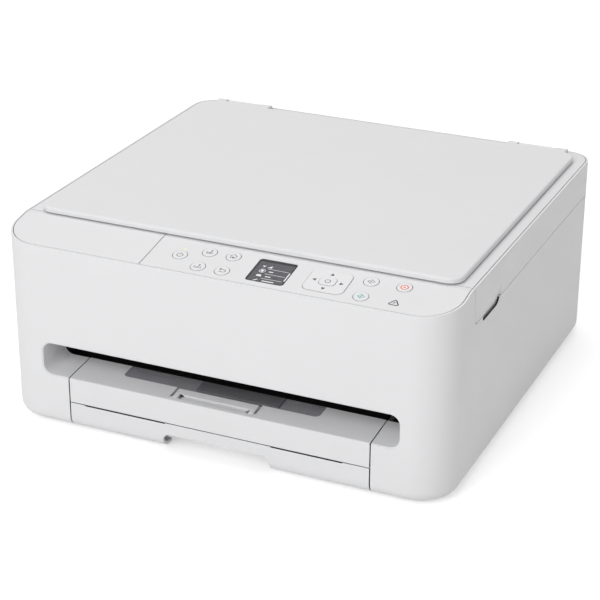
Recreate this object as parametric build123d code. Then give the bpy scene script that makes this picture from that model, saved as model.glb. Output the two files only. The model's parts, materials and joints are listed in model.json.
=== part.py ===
"""Desktop printer, scanner and copier with a hinged document lid and scanner unit.

Frame: origin at the middle of the footprint on the surface it stands on, +Z up,
+X to the right as seen from the front, +Y to the back. Millimetres.
"""
import math
import os

from build123d import *

# Overall body
BODY_W = 372.0
BODY_D = 355.0
BODY_H = 158.5
FOOT_H = 1.5
WALL = 2.4
FRONT_R = 31.0
REAR_R = 20.5
BASE_R = 9.2
RIM = 1.55
SEAM = 0.6
FLANGE = 14.0

# Sloping top strip at the front, with the operation panel
STRIP_DEPTH = 48.0
SLOPE_RUN = 43.0
SLOPE_DEG = 9.8
PLATE_T = 2.4
PANEL_SPLIT_X = -62.2

# Split between the lower case and the scanner unit
SKIRT_LINE = 128.1
SCANNER_OPEN_DEG = 35.0
SCANNER_AXIS_IN = 6.2
SCANNER_HINGE_X = 120.0
SCANNER_PIN_R = 1.7
CORNER_NICK_R = 1.0
KNUCKLE_R = 3.3

# Finger scoops under the scanner unit, one on each side
SCOOP_FRONT = 69.0
SCOOP_REAR = 110.0
SCOOP_CASE_REAR = 108.4
SCOOP_TOP = 137.0
SCOOP_BOTTOM = 123.5
SCOOP_IN = 2.2
SCOOP_SLANT = 6.0
SCOOP_REAR_R = 9.0
SCOOP_FRONT_R = 2.8
SCOOP_GAP = 1.0
FACET_T = 2.8

# Output slot in the front wall
SLOT_HALF = 149.5
SLOT_LOW = 43.4
SLOT_HIGH = 70.4
SLOT_R = 8.0
SLOT_DEPTH = 33.0
LINER_DEPTH = 108.0
TRAY_RISE = 0.09

# Cassette and output tray
DRAWER_HALF = 126.5
DRAWER_GAP = 1.0
TRAY_LOW = 22.4
TRAY_DEPTH = 112.0
TRAY_T = 2.2
CASSETTE_FLOOR = 5.2
CASSETTE_LEN = 336.0
CASSETTE_HALF = 125.0
BAY_WALL = 2.0
LEDGE_T = 1.2
DECK_UP = 0.5
GRIP_DEPTH = 32.0
BAY_TOP = 40.0
BAY_REAR_IN = 17.0
PAPER_HALF = 108.5
GRIP_HALF = 45.0
GRIP_HIGH = 12.5
GRIP_R = 5.5
CASSETTE_NOTCHES = ((-114.0, -43.0), (46.0, 105.0))
NOTCH_DOWN = 0.5
FRONT_EASE = 0.4
TRAY_EASE = 0.8
GUIDE_LONG = 130.0
GUIDE_FRONT = 120.0

# Document lid and scanner window
LID_SIDE_IN = 11.0
LID_FRONT = 45.7
LID_GAP = 1.3
LID_T = 3.9
LID_R = 11.5
LID_AXIS_IN = 10.4
LID_AXIS_UP = 1.2
LID_BARREL_R = 4.0
LID_PIN_R = 2.0
HINGE_NEAR = 113.0
HINGE_FAR = 165.0
HINGE_EAR = 9.0
WINDOW_W = 297.0
WINDOW_D = 216.0
WINDOW_FRONT = 72.0
GLASS_T = 3.0

# Print mechanism
FRAME_T = 1.5
FRAME_LEFT = -150.0
FRAME_RIGHT = 170.0
FRAME_FRONT = 118.5
RAIL_Y = 205.0
RAIL_TOP = 118.0
RAIL_LOW = 76.0
FEED_Y = 192.0
ROLLER_Z = 62.0
GEAR_TEETH = 32
PINION_TEETH = 10
GEAR_MODULE = 1.0
GEAR_W = 5.0
GEAR_X = -148.1
SHAFT_R = 3.0
FIT = 0.05
PULLEY_R = 5.7
BELT_Z = 96.0
BELT_Y = 199.0
BELT_W = 4.0
BELT_T = 1.2
CARRIAGE_HALF = 35.0
CARRIAGE_LOW = 70.0
CARRIAGE_HIGH = 112.0
MOTOR_R = 13.0
MOTOR_LEN = 26.0
PICKUP_Y, PICKUP_Z = 213.0, 52.0
PICK_ROLLER_Y, PICK_ROLLER_Z = 250.0, 33.0
PICK_ROLLER_R = 10.0
PLATEN_Z = 63.0
UNIT_LEFT = 114.0
EXIT_R = 5.0
FEED_R = 6.0
STAR_R = 4.0
CLEAR = 0.3

# Rear panel and its sockets
REAR_HALF = 160.0
REAR_LOW = 12.0
REAR_LIP = 4.0
REAR_SCREW_X = 150.0
REAR_SCREW_HEIGHTS = (26.0, 108.0)
REAR_SCREW_R = 2.8
VENT_LEFT, VENT_RIGHT = 20.0, 90.0
VENT_LOW = 84.0
VENT_ROWS = 7
VENT_STEP = 4.5
VENT_HIGH = 1.8
USB_X, USB_Z = -150.0, 78.0
INLET_X, INLET_Z = 112.0, 62.0
INLET_W, INLET_H = 24.0, 17.0
INLET_DEEP = 16.0

# Buttons: name, place across, place behind the front, both on the strip
ROUND_R = 5.6
ROUND_BUTTONS = {
    "power_button": (-38.0, 22.7),
    "function_button_a": (-17.9, 32.4),
    "function_button_b": (1.9, 32.5),
    "function_button_c": (-17.9, 12.4),
    "function_button_d": (1.9, 12.5),
    "start_button_rear": (112.4, 32.5),
    "start_button_front": (112.4, 12.6),
    "stop_button": (138.0, 32.8),
}
PANEL_POSTS = ((-52, 8), (-52, 38), (14, 22.5), (60, 8), (60, 38), (152, 12), (152, 38))
LAMP_X = -37.9
LAMP_R = 0.9
LAMP_GAP = 2.7
SCREEN_X, SCREEN_Y = 37.7, 22.3
SCREEN_W, SCREEN_D = 30.4, 30.0
PAD_X, PAD_Y = 82.3, 22.8
PAD_W, PAD_D, PAD_R = 32.0, 27.6, 5.5
OK_W, OK_D, OK_R = 12.4, 10.0, 3.2
BOARD_DOWN = 8.0
BOARD_T = 1.6
SWITCH_H = 2.2
BUTTON_TRAVEL = 0.5
BUTTON_PROUD = 0.3
BUTTON_GAP = 0.45
PAD_TILT_DEG = 2.0
CARRIER_DOWN = 4.7
CARRIER_T = 1.0
BAR_R = 0.9
BAR_LONG = 3.0

# Paper stop on the output tray
STOP_X = -4.6
STOP_HALF = 34.0
STOP_AXIS_Y = 6.6
STOP_AXIS_DOWN = 1.7
STOP_PIN_R = 0.9
STOP_REAR = 17.1
STOP_NOTCH = 2.4
INSERT_LEFT = -89.0
INSERT_RIGHT = 78.0
INSERT_FRONT = 18.4
INSERT_T = 0.8
INSERT_SUNK = 1.2
INSERT_R = 4.5
BAND_LEFT = -26.0
BAND_RIGHT = 44.0

# Scan bar
SCAN_X = -150.0
SCAN_ROD_Y = 182.0
SCAN_ROD_R = 3.0
SCAN_HALF = 9.0

# Worked out from the sizes above
Y_FRONT = -BODY_D / 2
TOP = FOOT_H + BODY_H
SLOPE = math.radians(SLOPE_DEG)
IDLER_Y = FEED_Y - GEAR_TEETH * GEAR_MODULE
EXIT_Y = IDLER_Y - GEAR_TEETH * GEAR_MODULE
PINION_Z = ROLLER_Z - (GEAR_TEETH + PINION_TEETH) * GEAR_MODULE / 2
CARRIAGE_X = FRAME_RIGHT - FRAME_T - CARRIAGE_HALF - 1.5
PULLEY_RIGHT = FRAME_RIGHT - 10.0
PULLEY_LEFT = FRAME_LEFT + 9.0
REAR_DROP = SCANNER_AXIS_IN * math.sin(math.radians(SCANNER_OPEN_DEG)) + 0.7
AXIS_Y = BODY_D - SCANNER_AXIS_IN
AXIS_Z = SKIRT_LINE + 1.2
LID_HALF = BODY_W / 2 - LID_SIDE_IN
LID_AXIS_Y = BODY_D - LID_AXIS_IN
LID_AXIS_Z = TOP + LID_AXIS_UP
LID_REAR = LID_AXIS_Y - LID_BARREL_R - 2.6
HINGE_SEAT = LID_AXIS_Y - 7.5
PAN_LOW = SKIRT_LINE + 1.2
PAN_TOP = BODY_H - PLATE_T - GLASS_T
PAN_HALF = BODY_W / 2 - WALL - SCOOP_IN - FACET_T - 1.2
BAY_HALF = CASSETTE_HALF + 3.4
BAY_REAR = BODY_D - BAY_REAR_IN
STEM_DOWN = BOARD_DOWN - SWITCH_H - BUTTON_TRAVEL - 0.1
PAD_GAP = BOARD_DOWN * math.sin(math.radians(PAD_TILT_DEG)) + 0.12
LAMP_Y = ROUND_BUTTONS["power_button"][1] + ROUND_R + LAMP_GAP
DECK_FRONT = SLOT_DEPTH + 0.4
INSERT_LOW = INSERT_T + INSERT_SUNK


def fy(distance):
    """Row y of a point that lies this far behind the front face."""
    return Y_FRONT + distance


def bz(height):
    """Row z of a point that lies this far above the body's underside."""
    return FOOT_H + height


def block(x0, x1, y0, y1, z0, z1):
    """Box between two corners."""
    size = Box(x1 - x0, y1 - y0, z1 - z0, align=(Align.MIN, Align.MIN, Align.MIN))
    return Pos(x0, y0, z0) * size


def pair(x0, x1, y0, y1, z0, z1):
    """Two boxes, mirrored left and right."""
    return block(x0, x1, y0, y1, z0, z1) + block(-x1, -x0, y0, y1, z0, z1)


def yz_prism(points, x0, x1):
    """Prism along X over a closed outline of (y, z) points."""
    face = make_face(Plane.YZ * Polyline(*points, close=True))
    return Pos(x0, 0, 0) * extrude(face, x1 - x0, dir=(1, 0, 0))


def xz_prism(face, y0, y1):
    """Prism along Y between two depths, from a face drawn across and up."""
    return extrude(Plane.XZ.offset(-y1) * face, y1 - y0)


def rod_x(radius, x0, x1, y, z):
    """Round bar along X."""
    bar = Cylinder(radius, x1 - x0, align=(Align.CENTER, Align.CENTER, Align.MIN))
    return Pos(x0, y, z) * Rot(0, 90, 0) * bar


def rod_y(radius, x, y0, y1, z):
    """Round bar along Y."""
    bar = Cylinder(radius, y1 - y0, align=(Align.CENTER, Align.CENTER, Align.MIN))
    return Pos(x, y0, z) * Rot(-90, 0, 0) * bar


def rod_z(radius, x, y, z0, z1):
    """Round bar along Z."""
    bar = Cylinder(radius, z1 - z0, align=(Align.CENTER, Align.CENTER, Align.MIN))
    return Pos(x, y, z0) * bar


def body_prism(inset, low, high, base_r=0.0):
    """Prism over the body's plan outline, pulled in by inset."""
    plan = Rectangle(BODY_W - 2 * inset, BODY_D - 2 * inset)
    plan = fillet(plan.vertices().sort_by(Axis.Y)[:2], FRONT_R - inset)
    plan = fillet(plan.vertices().sort_by(Axis.Y)[-2:], REAR_R - inset)
    solid = Pos(0, 0, low) * extrude(plan, high - low)
    if base_r:
        solid = fillet(solid.faces().sort_by(Axis.Z)[0].edges(), base_r)
    return solid


def strip_z(distance):
    """Height of the strip's top surface at a distance behind the front."""
    return TOP - max(0.0, SLOPE_RUN - distance) * math.tan(SLOPE)


def split_y(z):
    """Distance behind the front of the split plane at row height z."""
    return STRIP_DEPTH + (TOP - z) * math.tan(SLOPE)


def strip_point(x, distance, down=0.0):
    """Place on the strip: origin on its surface, local z along its normal."""
    surface = Plane(
        origin=(x, fy(distance), strip_z(distance)),
        x_dir=(1, 0, 0),
        z_dir=(0, -math.sin(SLOPE), math.cos(SLOPE)),
    )
    return surface.offset(-down).location


def strip_layer(thickness, extra=0.0):
    """Layer under the strip's top surface, across the whole width."""
    down = thickness / math.cos(SLOPE)
    rear = STRIP_DEPTH - SEAM / 2 + extra
    top = [(fy(-1), strip_z(-1)), (fy(SLOPE_RUN), TOP), (fy(rear), TOP)]
    low_rear = rear + thickness * math.tan(SLOPE)
    low = [(fy(low_rear), TOP - thickness), (fy(SLOPE_RUN), TOP - down), (fy(-1), strip_z(-1) - down)]
    return yz_prism(top + low, -BODY_W / 2, BODY_W / 2)


def tray_z(distance):
    """Height of the output tray's sloping top above the body's underside."""
    return SLOT_LOW + TRAY_RISE * distance


def tray_layer(y0, y1, top, low, x0, x1):
    """Layer between two depths, both faces measured down from the tray's top."""
    outline = [
        (fy(y0), bz(tray_z(y0) - low)),
        (fy(y0), bz(tray_z(y0) - top)),
        (fy(y1), bz(tray_z(y1) - top)),
        (fy(y1), bz(tray_z(y1) - low)),
    ]
    return yz_prism(outline, x0, x1)


# Fixed casing


def slot_outline(extra):
    """Rounded outline of the output slot, grown by extra."""
    width = 2 * (SLOT_HALF + extra)
    height = SLOT_HIGH - SLOT_LOW + 2 * extra
    middle = bz((SLOT_HIGH + SLOT_LOW) / 2)
    return Pos(0, middle) * RectangleRounded(width, height, SLOT_R + extra)


def slot_section(distance):
    """Outline of the tunnel's bore at a distance behind the front."""
    low = tray_z(distance)
    middle = bz((SLOT_HIGH + low) / 2)
    outline = RectangleRounded(2 * SLOT_HALF, SLOT_HIGH - low, SLOT_R)
    return Plane.XZ.offset(-fy(distance)) * Pos(0, middle) * outline


def slot_tunnel():
    """Short white tunnel behind the output slot, its floor rising with the tray."""
    shell = xz_prism(slot_outline(2.0), fy(0.5), fy(SLOT_DEPTH))
    return shell - loft([slot_section(-1), slot_section(SLOT_DEPTH + 1)])


def scoop_side(side, outline, x_in, x_out):
    """Prism across one side wall over an outline of (y, z) points."""
    x0, x1 = sorted((side * x_in, side * x_out))
    return yz_prism(outline, x0, x1)


def scoop_cut(side):
    """Space that the finger scoop takes out of the case's side wall."""
    high = SCOOP_BOTTOM + SCOOP_REAR_R + 1
    outline = [
        (fy(SCOOP_FRONT), bz(SCOOP_BOTTOM)),
        (fy(SCOOP_FRONT), bz(high)),
        (fy(SCOOP_CASE_REAR), bz(high)),
        (fy(SCOOP_CASE_REAR), bz(SCOOP_BOTTOM)),
    ]
    cut = scoop_side(side, outline, BODY_W / 2 - WALL - 6, BODY_W / 2 + 1)
    front, rear = cut.edges().filter_by(Axis.X).group_by(Axis.Z)[0].sort_by(Axis.Y)
    cut = fillet(front, SCOOP_FRONT_R)
    rear = cut.edges().filter_by(Axis.X).sort_by(Axis.Y)[-2:].sort_by(Axis.Z)[0]
    return fillet(rear, SCOOP_REAR_R)


def outer_case():
    """One-piece front and side shell with the slot, drawer opening and rim."""
    shell = body_prism(0, bz(0), TOP, BASE_R)
    shell -= body_prism(WALL, bz(WALL), TOP + 1, BASE_R - WALL)
    shell -= body_prism(FLANGE, bz(-1), bz(WALL + 1))
    skirt_z = bz(SKIRT_LINE)
    keep = yz_prism(
        [
            (fy(-1), 0),
            (fy(-1), strip_z(-1)),
            (fy(SLOPE_RUN), TOP),
            (fy(STRIP_DEPTH), TOP),
            (fy(split_y(skirt_z)), skirt_z),
            (fy(BODY_D - SCANNER_AXIS_IN - 1), skirt_z),
            (fy(BODY_D - SCANNER_AXIS_IN - 1), bz(SKIRT_LINE - REAR_DROP)),
            (fy(BODY_D + 1), bz(SKIRT_LINE - REAR_DROP)),
            (fy(BODY_D + 1), 0),
        ],
        -BODY_W / 2 - 1,
        BODY_W / 2 + 1,
    )
    shell = shell & keep
    shell -= body_prism(RIM, bz(100), TOP + 1) & strip_layer(PLATE_T, 2.0)
    shell -= xz_prism(slot_outline(1.0), fy(-1), fy(WALL + 1))
    shell += slot_tunnel()
    gap = DRAWER_HALF + DRAWER_GAP
    shell -= block(-gap, gap, fy(-1), fy(FLANGE + 1), bz(-1), bz(SLOT_LOW))
    tray_room = tray_z(SLOT_DEPTH + 1) + 0.3
    shell -= block(-gap, gap, fy(-1), fy(SLOT_DEPTH + 1), bz(SLOT_LOW - 8), bz(tray_room))
    for side in (-1, 1):
        shell -= scoop_cut(side)
    half = REAR_HALF + CLEAR
    return shell - block(-half, half, fy(BODY_D - WALL - 1), fy(BODY_D + 1), bz(REAR_LOW - CLEAR), bz(BODY_H))


def base_chassis():
    """Floor pan with the walls, ledges and rear deck of the cassette bay."""
    gap = DRAWER_HALF + DRAWER_GAP
    pan = body_prism(BASE_R + 0.4, bz(WALL), bz(WALL + 2))
    pan -= block(-gap, gap, fy(0), fy(FLANGE + 1), bz(0), bz(10))
    pan -= block(-GRIP_HALF - 4, GRIP_HALF + 4, fy(0), fy(GRIP_DEPTH + 2), bz(0), bz(10))
    wall_out = BAY_HALF + BAY_WALL
    pan += pair(BAY_HALF, wall_out, fy(FLANGE + 1), fy(BAY_REAR + BAY_WALL), bz(WALL + 1), bz(BAY_TOP))
    ledge_low, ledge_high = bz(TRAY_LOW), bz(TRAY_LOW + LEDGE_T)
    pan += pair(DRAWER_HALF - 3, BAY_HALF + 1, fy(FLANGE + 1), fy(TRAY_DEPTH + 38), ledge_low, ledge_high)
    pan += block(-wall_out, wall_out, fy(BAY_REAR), fy(BAY_REAR + BAY_WALL), bz(WALL + 1), bz(BAY_TOP))
    deck_front = PICK_ROLLER_Y + PICK_ROLLER_R + 2
    deck = block(-wall_out, wall_out, fy(deck_front), fy(BAY_REAR + BAY_WALL),
                 bz(BAY_TOP - 2), bz(BAY_TOP + DECK_UP))
    return pan + deck


def rear_screw_places():
    """Centres of the four rear screws, across and up."""
    return [(side * REAR_SCREW_X, height) for side in (-1, 1) for height in REAR_SCREW_HEIGHTS]


def rear_cover():
    """Flat rear panel with the openings for the mains inlet and the data port."""
    inner = fy(BODY_D - WALL)
    cover = block(-REAR_HALF, REAR_HALF, inner, fy(BODY_D), bz(REAR_LOW), bz(SKIRT_LINE - REAR_DROP))
    half = REAR_HALF + REAR_LIP
    cover += block(-half, half, inner - 1.5, inner, bz(REAR_LOW + 3), bz(SKIRT_LINE - 6))
    depth0, depth1 = fy(BODY_D - WALL - 2), fy(BODY_D + 1)
    cover -= block(INLET_X - INLET_W / 2, INLET_X + INLET_W / 2, depth0, depth1,
                   bz(INLET_Z - INLET_H / 2), bz(INLET_Z + INLET_H / 2))
    cover -= block(USB_X - 6.6, USB_X + 6.6, depth0, depth1, bz(USB_Z - 6.1), bz(USB_Z + 6.1))
    for x, z in rear_screw_places():
        cover -= rod_y(REAR_SCREW_R + CLEAR, x, fy(BODY_D - 2.0), fy(BODY_D + 1), bz(z))
        cover -= rod_y(1.4, x, depth0, depth1, bz(z))
    for row in range(VENT_ROWS):
        height = bz(VENT_LOW + VENT_STEP * row)
        cover -= block(VENT_LEFT, VENT_RIGHT, depth0, depth1, height, height + VENT_HIGH)
    return cover


def mains_inlet():
    """Two-pin mains socket that shows through the rear panel."""
    body = block(INLET_X - INLET_W / 2 + 0.2, INLET_X + INLET_W / 2 - 0.2,
                 fy(BODY_D - INLET_DEEP), fy(BODY_D - 0.4),
                 bz(INLET_Z - INLET_H / 2 + 0.2), bz(INLET_Z + INLET_H / 2 - 0.2))
    hollow = Pos(INLET_X, bz(INLET_Z)) * SlotOverall(17.5, 10.5)
    body -= xz_prism(hollow, fy(BODY_D - 12), fy(BODY_D))
    for side in (-1, 1):
        body += rod_y(1.2, INLET_X + side * 4.0, fy(BODY_D - 13), fy(BODY_D - 3), bz(INLET_Z))
    return body


def power_supply():
    """Closed power supply on the rear deck, behind the mains inlet."""
    rear = BODY_D - INLET_DEEP
    body = block(INLET_X - 62, INLET_X + 16, fy(rear - 39), fy(rear), bz(BAY_TOP + DECK_UP), bz(78))
    return fillet(body.edges().filter_by(Axis.Z), 3)


def main_board():
    """Main circuit board on spacers from the left wall, with its data port."""
    left = -BODY_W / 2 + WALL
    front, rear = BODY_D - 130, BODY_D - 6
    board = block(left + 8, left + 8 + BOARD_T, fy(front), fy(rear), bz(50), bz(112))
    for y in (front + 7, rear - REAR_R - 4):
        for z in (56, 106):
            board += rod_x(2.5, left, left + 8.5, fy(y), bz(z))
    for y, z, size in ((front + 37, 84, 22), (front + 71, 92, 12), (front + 25, 64, 10)):
        board += block(left + 9.4, left + 12, fy(y), fy(y + size), bz(z), bz(z + size))
    port_front = BODY_D - 20
    port = block(USB_X - 6.2, USB_X + 6.2, fy(port_front), fy(BODY_D - 0.8),
                 bz(USB_Z - 5.7), bz(USB_Z + 5.7))
    port -= block(USB_X - 4.2, USB_X + 4.2, fy(BODY_D - 12), fy(BODY_D), bz(USB_Z - 3.9), bz(USB_Z + 3.9))
    arm = block(left + 9, USB_X - 5, fy(port_front), fy(port_front + 6), bz(USB_Z - 2), bz(USB_Z + 2))
    return board + port + arm


def rear_screws():
    """Four screws that hold the rear panel."""
    screws = []
    for x, z in rear_screw_places():
        head = rod_y(REAR_SCREW_R, x, fy(BODY_D - 2.0), fy(BODY_D - 0.6), bz(z))
        head -= block(x - 0.4, x + 0.4, fy(BODY_D - 1.3), fy(BODY_D), bz(z) - 2, bz(z) + 2)
        head -= block(x - 2, x + 2, fy(BODY_D - 1.3), fy(BODY_D), bz(z) - 0.4, bz(z) + 0.4)
        screws.append(head + rod_y(1.3, x, fy(BODY_D - 9), fy(BODY_D - 1.5), bz(z)))
    return Compound(children=screws)


def feet():
    """Four rubber feet under the floor pan."""
    places = [(side * (BODY_W / 2 - 32), y) for side in (-1, 1) for y in (34, BODY_D - 32)]
    return Compound(children=[rod_z(8.0, x, fy(y), 0, bz(WALL)) for x, y in places])


def slot_liner():
    """Black liner that joins the slot to the print mechanism."""
    y0, y1 = fy(SLOT_DEPTH), fy(LINER_DEPTH)
    side = SLOT_HALF
    liner = block(-side, side, y0, y1, bz(SLOT_HIGH), bz(SLOT_HIGH + 2))
    liner += pair(side - 2, side, y0, y1, bz(40), bz(SLOT_HIGH + 1))
    liner += pair(CASSETTE_HALF + 3.6, side - 1, y0, y1, bz(40), bz(42))
    return liner


# Operation panel


def panel_part(x0, x1):
    """Part of the top strip between two places across."""
    plate = body_prism(RIM + SEAM, bz(100), TOP + 1) & strip_layer(PLATE_T)
    return plate & block(x0, x1, fy(-1), fy(STRIP_DEPTH + 5), bz(100), TOP + 1)


def top_cover_left():
    """Blank left part of the top strip, with a locating boss under it."""
    cover = panel_part(-BODY_W / 2, PANEL_SPLIT_X - SEAM / 2)
    boss = strip_point(-BODY_W / 4 - 17, STRIP_DEPTH / 2, PLATE_T + 2.9) * Cylinder(6, 6)
    return cover + boss


def operation_panel():
    """Right part of the top strip, with openings for buttons and display."""
    panel = panel_part(PANEL_SPLIT_X + SEAM / 2, BODY_W / 2)
    for x, y in ROUND_BUTTONS.values():
        panel -= strip_point(x, y) * Cylinder(ROUND_R + BUTTON_GAP, 12)
    screen = RectangleRounded(SCREEN_W + 0.3, SCREEN_D + 0.3, 2.6)
    panel -= strip_point(SCREEN_X, SCREEN_Y) * extrude(screen, 6, both=True)
    pad = RectangleRounded(PAD_W + 2 * PAD_GAP, PAD_D + 2 * PAD_GAP, PAD_R + PAD_GAP)
    panel -= strip_point(PAD_X, PAD_Y) * extrude(pad, 6, both=True)
    panel -= strip_point(LAMP_X, LAMP_Y) * Cylinder(LAMP_R + 0.1, 12)
    down = BOARD_DOWN - PLATE_T + 0.4
    for x, y in PANEL_POSTS:
        panel += strip_point(x, y, PLATE_T - 0.4 + down / 2) * Cylinder(2.0, down)
    return panel


def panel_board():
    """Circuit board under the panel, with a switch under each button."""
    x0, x1 = PANEL_POSTS[0][0] - 6, PANEL_POSTS[-1][0] + 4
    middle = strip_point((x0 + x1) / 2, 23, BOARD_DOWN + BOARD_T / 2)
    board = middle * Box(x1 - x0, 38, BOARD_T)
    rise = BOARD_DOWN - SWITCH_H / 2
    for x, y in ROUND_BUTTONS.values():
        board += strip_point(x, y, rise) * Box(6, 6, SWITCH_H)
    board += strip_point(PAD_X, PAD_Y, rise) * Box(5, 5, SWITCH_H)
    return board


def round_button(x, y):
    """Low round key with a hidden collar and a stem above its switch."""
    thick = PLATE_T + BUTTON_PROUD
    key = strip_point(x, y, thick / 2 - BUTTON_PROUD) * Cylinder(ROUND_R, thick)
    key = fillet(key.edges().group_by(Axis.Z)[-1], 0.25)
    collar_top = PLATE_T + CLEAR
    collar = strip_point(x, y, collar_top + 0.5) * Cylinder(ROUND_R + 1.0, 1.0)
    neck = strip_point(x, y, PLATE_T + 0.2) * Cylinder(ROUND_R - 0.5, 1.0)
    length = STEM_DOWN - collar_top
    stem = strip_point(x, y, collar_top + length / 2) * Cylinder(1.8, length)
    return key + neck + collar + stem


def pad_carrier():
    """Carrier under the direction pad, on two round bars: it tips forwards and backwards."""
    middle = CARRIER_DOWN + CARRIER_T / 2
    carrier = strip_point(PAD_X, PAD_Y, middle) * Box(PAD_W - 6, PAD_D - 8, CARRIER_T)
    carrier -= strip_point(PAD_X, PAD_Y, middle) * Cylinder(4.6, 4)
    axis = BOARD_DOWN - CLEAR - BAR_R
    high = CARRIER_DOWN + CARRIER_T - 0.2
    for side in (-1, 1):
        x = PAD_X + side * 11
        carrier += strip_point(x, PAD_Y, (axis + high) / 2) * Box(BAR_LONG, BAR_R, axis - high)
        carrier += strip_point(x, PAD_Y, axis) * Rot(0, 90, 0) * Cylinder(BAR_R, BAR_LONG)
    return carrier


def direction_pad():
    """Rounded square rocker round the middle key, on two round bars."""
    thick = PLATE_T + BUTTON_PROUD
    middle_hole = RectangleRounded(OK_W + 2 * PAD_GAP, OK_D + 2 * PAD_GAP, OK_R + PAD_GAP)
    outline = RectangleRounded(PAD_W, PAD_D, PAD_R) - middle_hole
    pad = strip_point(PAD_X, PAD_Y, -BUTTON_PROUD) * extrude(outline, -thick)
    axis = CARRIER_DOWN - CLEAR - BAR_R
    high = PLATE_T - 0.3
    for side in (-1, 1):
        y = PAD_Y + side * 8.4
        pad += strip_point(PAD_X, y, (axis + high) / 2) * Box(BAR_R, BAR_LONG, axis - high)
        pad += strip_point(PAD_X, y, axis) * Rot(90, 0, 0) * Cylinder(BAR_R, BAR_LONG)
    return pad


def ok_button():
    """Middle key of the direction pad, on its own stem."""
    proud = BUTTON_PROUD + 0.3
    face = RectangleRounded(OK_W, OK_D, OK_R)
    key = strip_point(PAD_X, PAD_Y, -proud) * extrude(face, -PLATE_T - proud)
    length = STEM_DOWN - PLATE_T
    stem = strip_point(PAD_X, PAD_Y, PLATE_T + length / 2) * Cylinder(3.0, length)
    return key + stem


def display_module():
    """Display with its window, standing on the board."""
    top, low = 0.35, BOARD_DOWN
    outline = RectangleRounded(SCREEN_W, SCREEN_D, 2.4)
    return strip_point(SCREEN_X, SCREEN_Y, top) * extrude(outline, top - low)


def power_lamp():
    """Light guide beside the power button."""
    return strip_point(LAMP_X, LAMP_Y, BOARD_DOWN / 2) * Cylinder(LAMP_R, BOARD_DOWN)


# Scanner unit

def tongue_curve(high):
    """Points round the tongue's lower rear corner, up to a height."""
    radius = SCOOP_REAR_R - SCOOP_GAP
    middle_y = SCOOP_CASE_REAR - SCOOP_REAR_R
    middle_z = SCOOP_BOTTOM + SCOOP_REAR_R
    start = -math.pi / 2
    turn = math.asin((high - middle_z) / radius) - start
    angles = [start + turn * step / 6 for step in range(7)]
    return [(fy(middle_y + radius * math.cos(a)), bz(middle_z + radius * math.sin(a))) for a in angles]


def scoop_facet(side):
    """Sloping finger surface at the foot of the scanner's side wall, with a tongue in the case."""
    x_low = BODY_W / 2 - SCOOP_IN
    x_top = BODY_W / 2 - 0.2
    slab = make_face(Plane.XZ * Polyline(
        (x_low - FACET_T, bz(SCOOP_BOTTOM)),
        (x_low, bz(SCOOP_BOTTOM)),
        (x_top, bz(SCOOP_TOP)),
        (x_top - 1.2, bz(SCOOP_TOP + 2)),
        (x_top - FACET_T, bz(SCOOP_TOP + 2)),
        close=True,
    ))
    slab = Pos(0, fy(SCOOP_REAR + 4), 0) * extrude(slab, SCOOP_REAR - SCOOP_FRONT + 8, dir=(0, -1, 0))
    slab = slab if side > 0 else mirror(slab, about=Plane.YZ)
    low, high = SCOOP_BOTTOM + SCOOP_GAP, SKIRT_LINE + 0.9
    outline = [
        (fy(SCOOP_FRONT + 0.5), bz(low + 1.2)),
        (fy(SCOOP_FRONT + 1.5), bz(low)),
        *tongue_curve(high),
        (fy(SCOOP_REAR + 1.5), bz(high)),
        (fy(SCOOP_REAR + 1.5), bz(SCOOP_TOP + 1.5)),
        (fy(SCOOP_FRONT - 1.5), bz(SCOOP_TOP + 1.5)),
        (fy(SCOOP_FRONT - 1.5), bz(high)),
        (fy(SCOOP_FRONT + 0.5), bz(high)),
    ]
    return slab & scoop_side(side, outline, BODY_W / 2 - 12, BODY_W / 2 + 1)


def scanner_skirt():
    """Side and rear walls of the scanner unit, with a rim round the top."""
    low = bz(SKIRT_LINE + 0.5)
    wall = body_prism(0, low, TOP) - body_prism(WALL, low - 1, TOP + 1)
    wall -= body_prism(RIM, TOP - PLATE_T, TOP + 1)
    behind = yz_prism(
        [
            (fy(split_y(low - 1) + SEAM), low - 1),
            (fy(split_y(TOP + 1) + SEAM), TOP + 1),
            (fy(BODY_D + 1), TOP + 1),
            (fy(BODY_D + 1), low - 1),
        ],
        -BODY_W / 2 - 1,
        BODY_W / 2 + 1,
    )
    under = TOP - PLATE_T - 0.02
    cross = yz_prism(
        [
            (fy(split_y(low) + SEAM - 1), low),
            (fy(split_y(under) + SEAM - 1), under),
            (fy(split_y(under) + SEAM + WALL), under),
            (fy(split_y(low) + SEAM + WALL), low),
        ],
        -BODY_W / 2 + WALL - 0.5,
        BODY_W / 2 - WALL + 0.5,
    )
    wall = (wall + cross) & behind
    recess = [
        (fy(SCOOP_FRONT), low - 1),
        (fy(SCOOP_FRONT), low),
        (fy(SCOOP_FRONT + SCOOP_SLANT), bz(SCOOP_TOP)),
        (fy(SCOOP_REAR), bz(SCOOP_TOP)),
        (fy(SCOOP_REAR), low - 1),
    ]
    corner_y = fy(split_y(low) + SEAM)
    for side in (-1, 1):
        wall -= scoop_side(side, recess, BODY_W / 2 - WALL - 1, BODY_W / 2 + 1)
        wall += scoop_facet(side)
        x0, x1 = sorted((side * (BODY_W / 2 - WALL - 1), side * (BODY_W / 2 + 1)))
        wall -= rod_x(CORNER_NICK_R, x0, x1, corner_y, low)
    return wall


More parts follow.
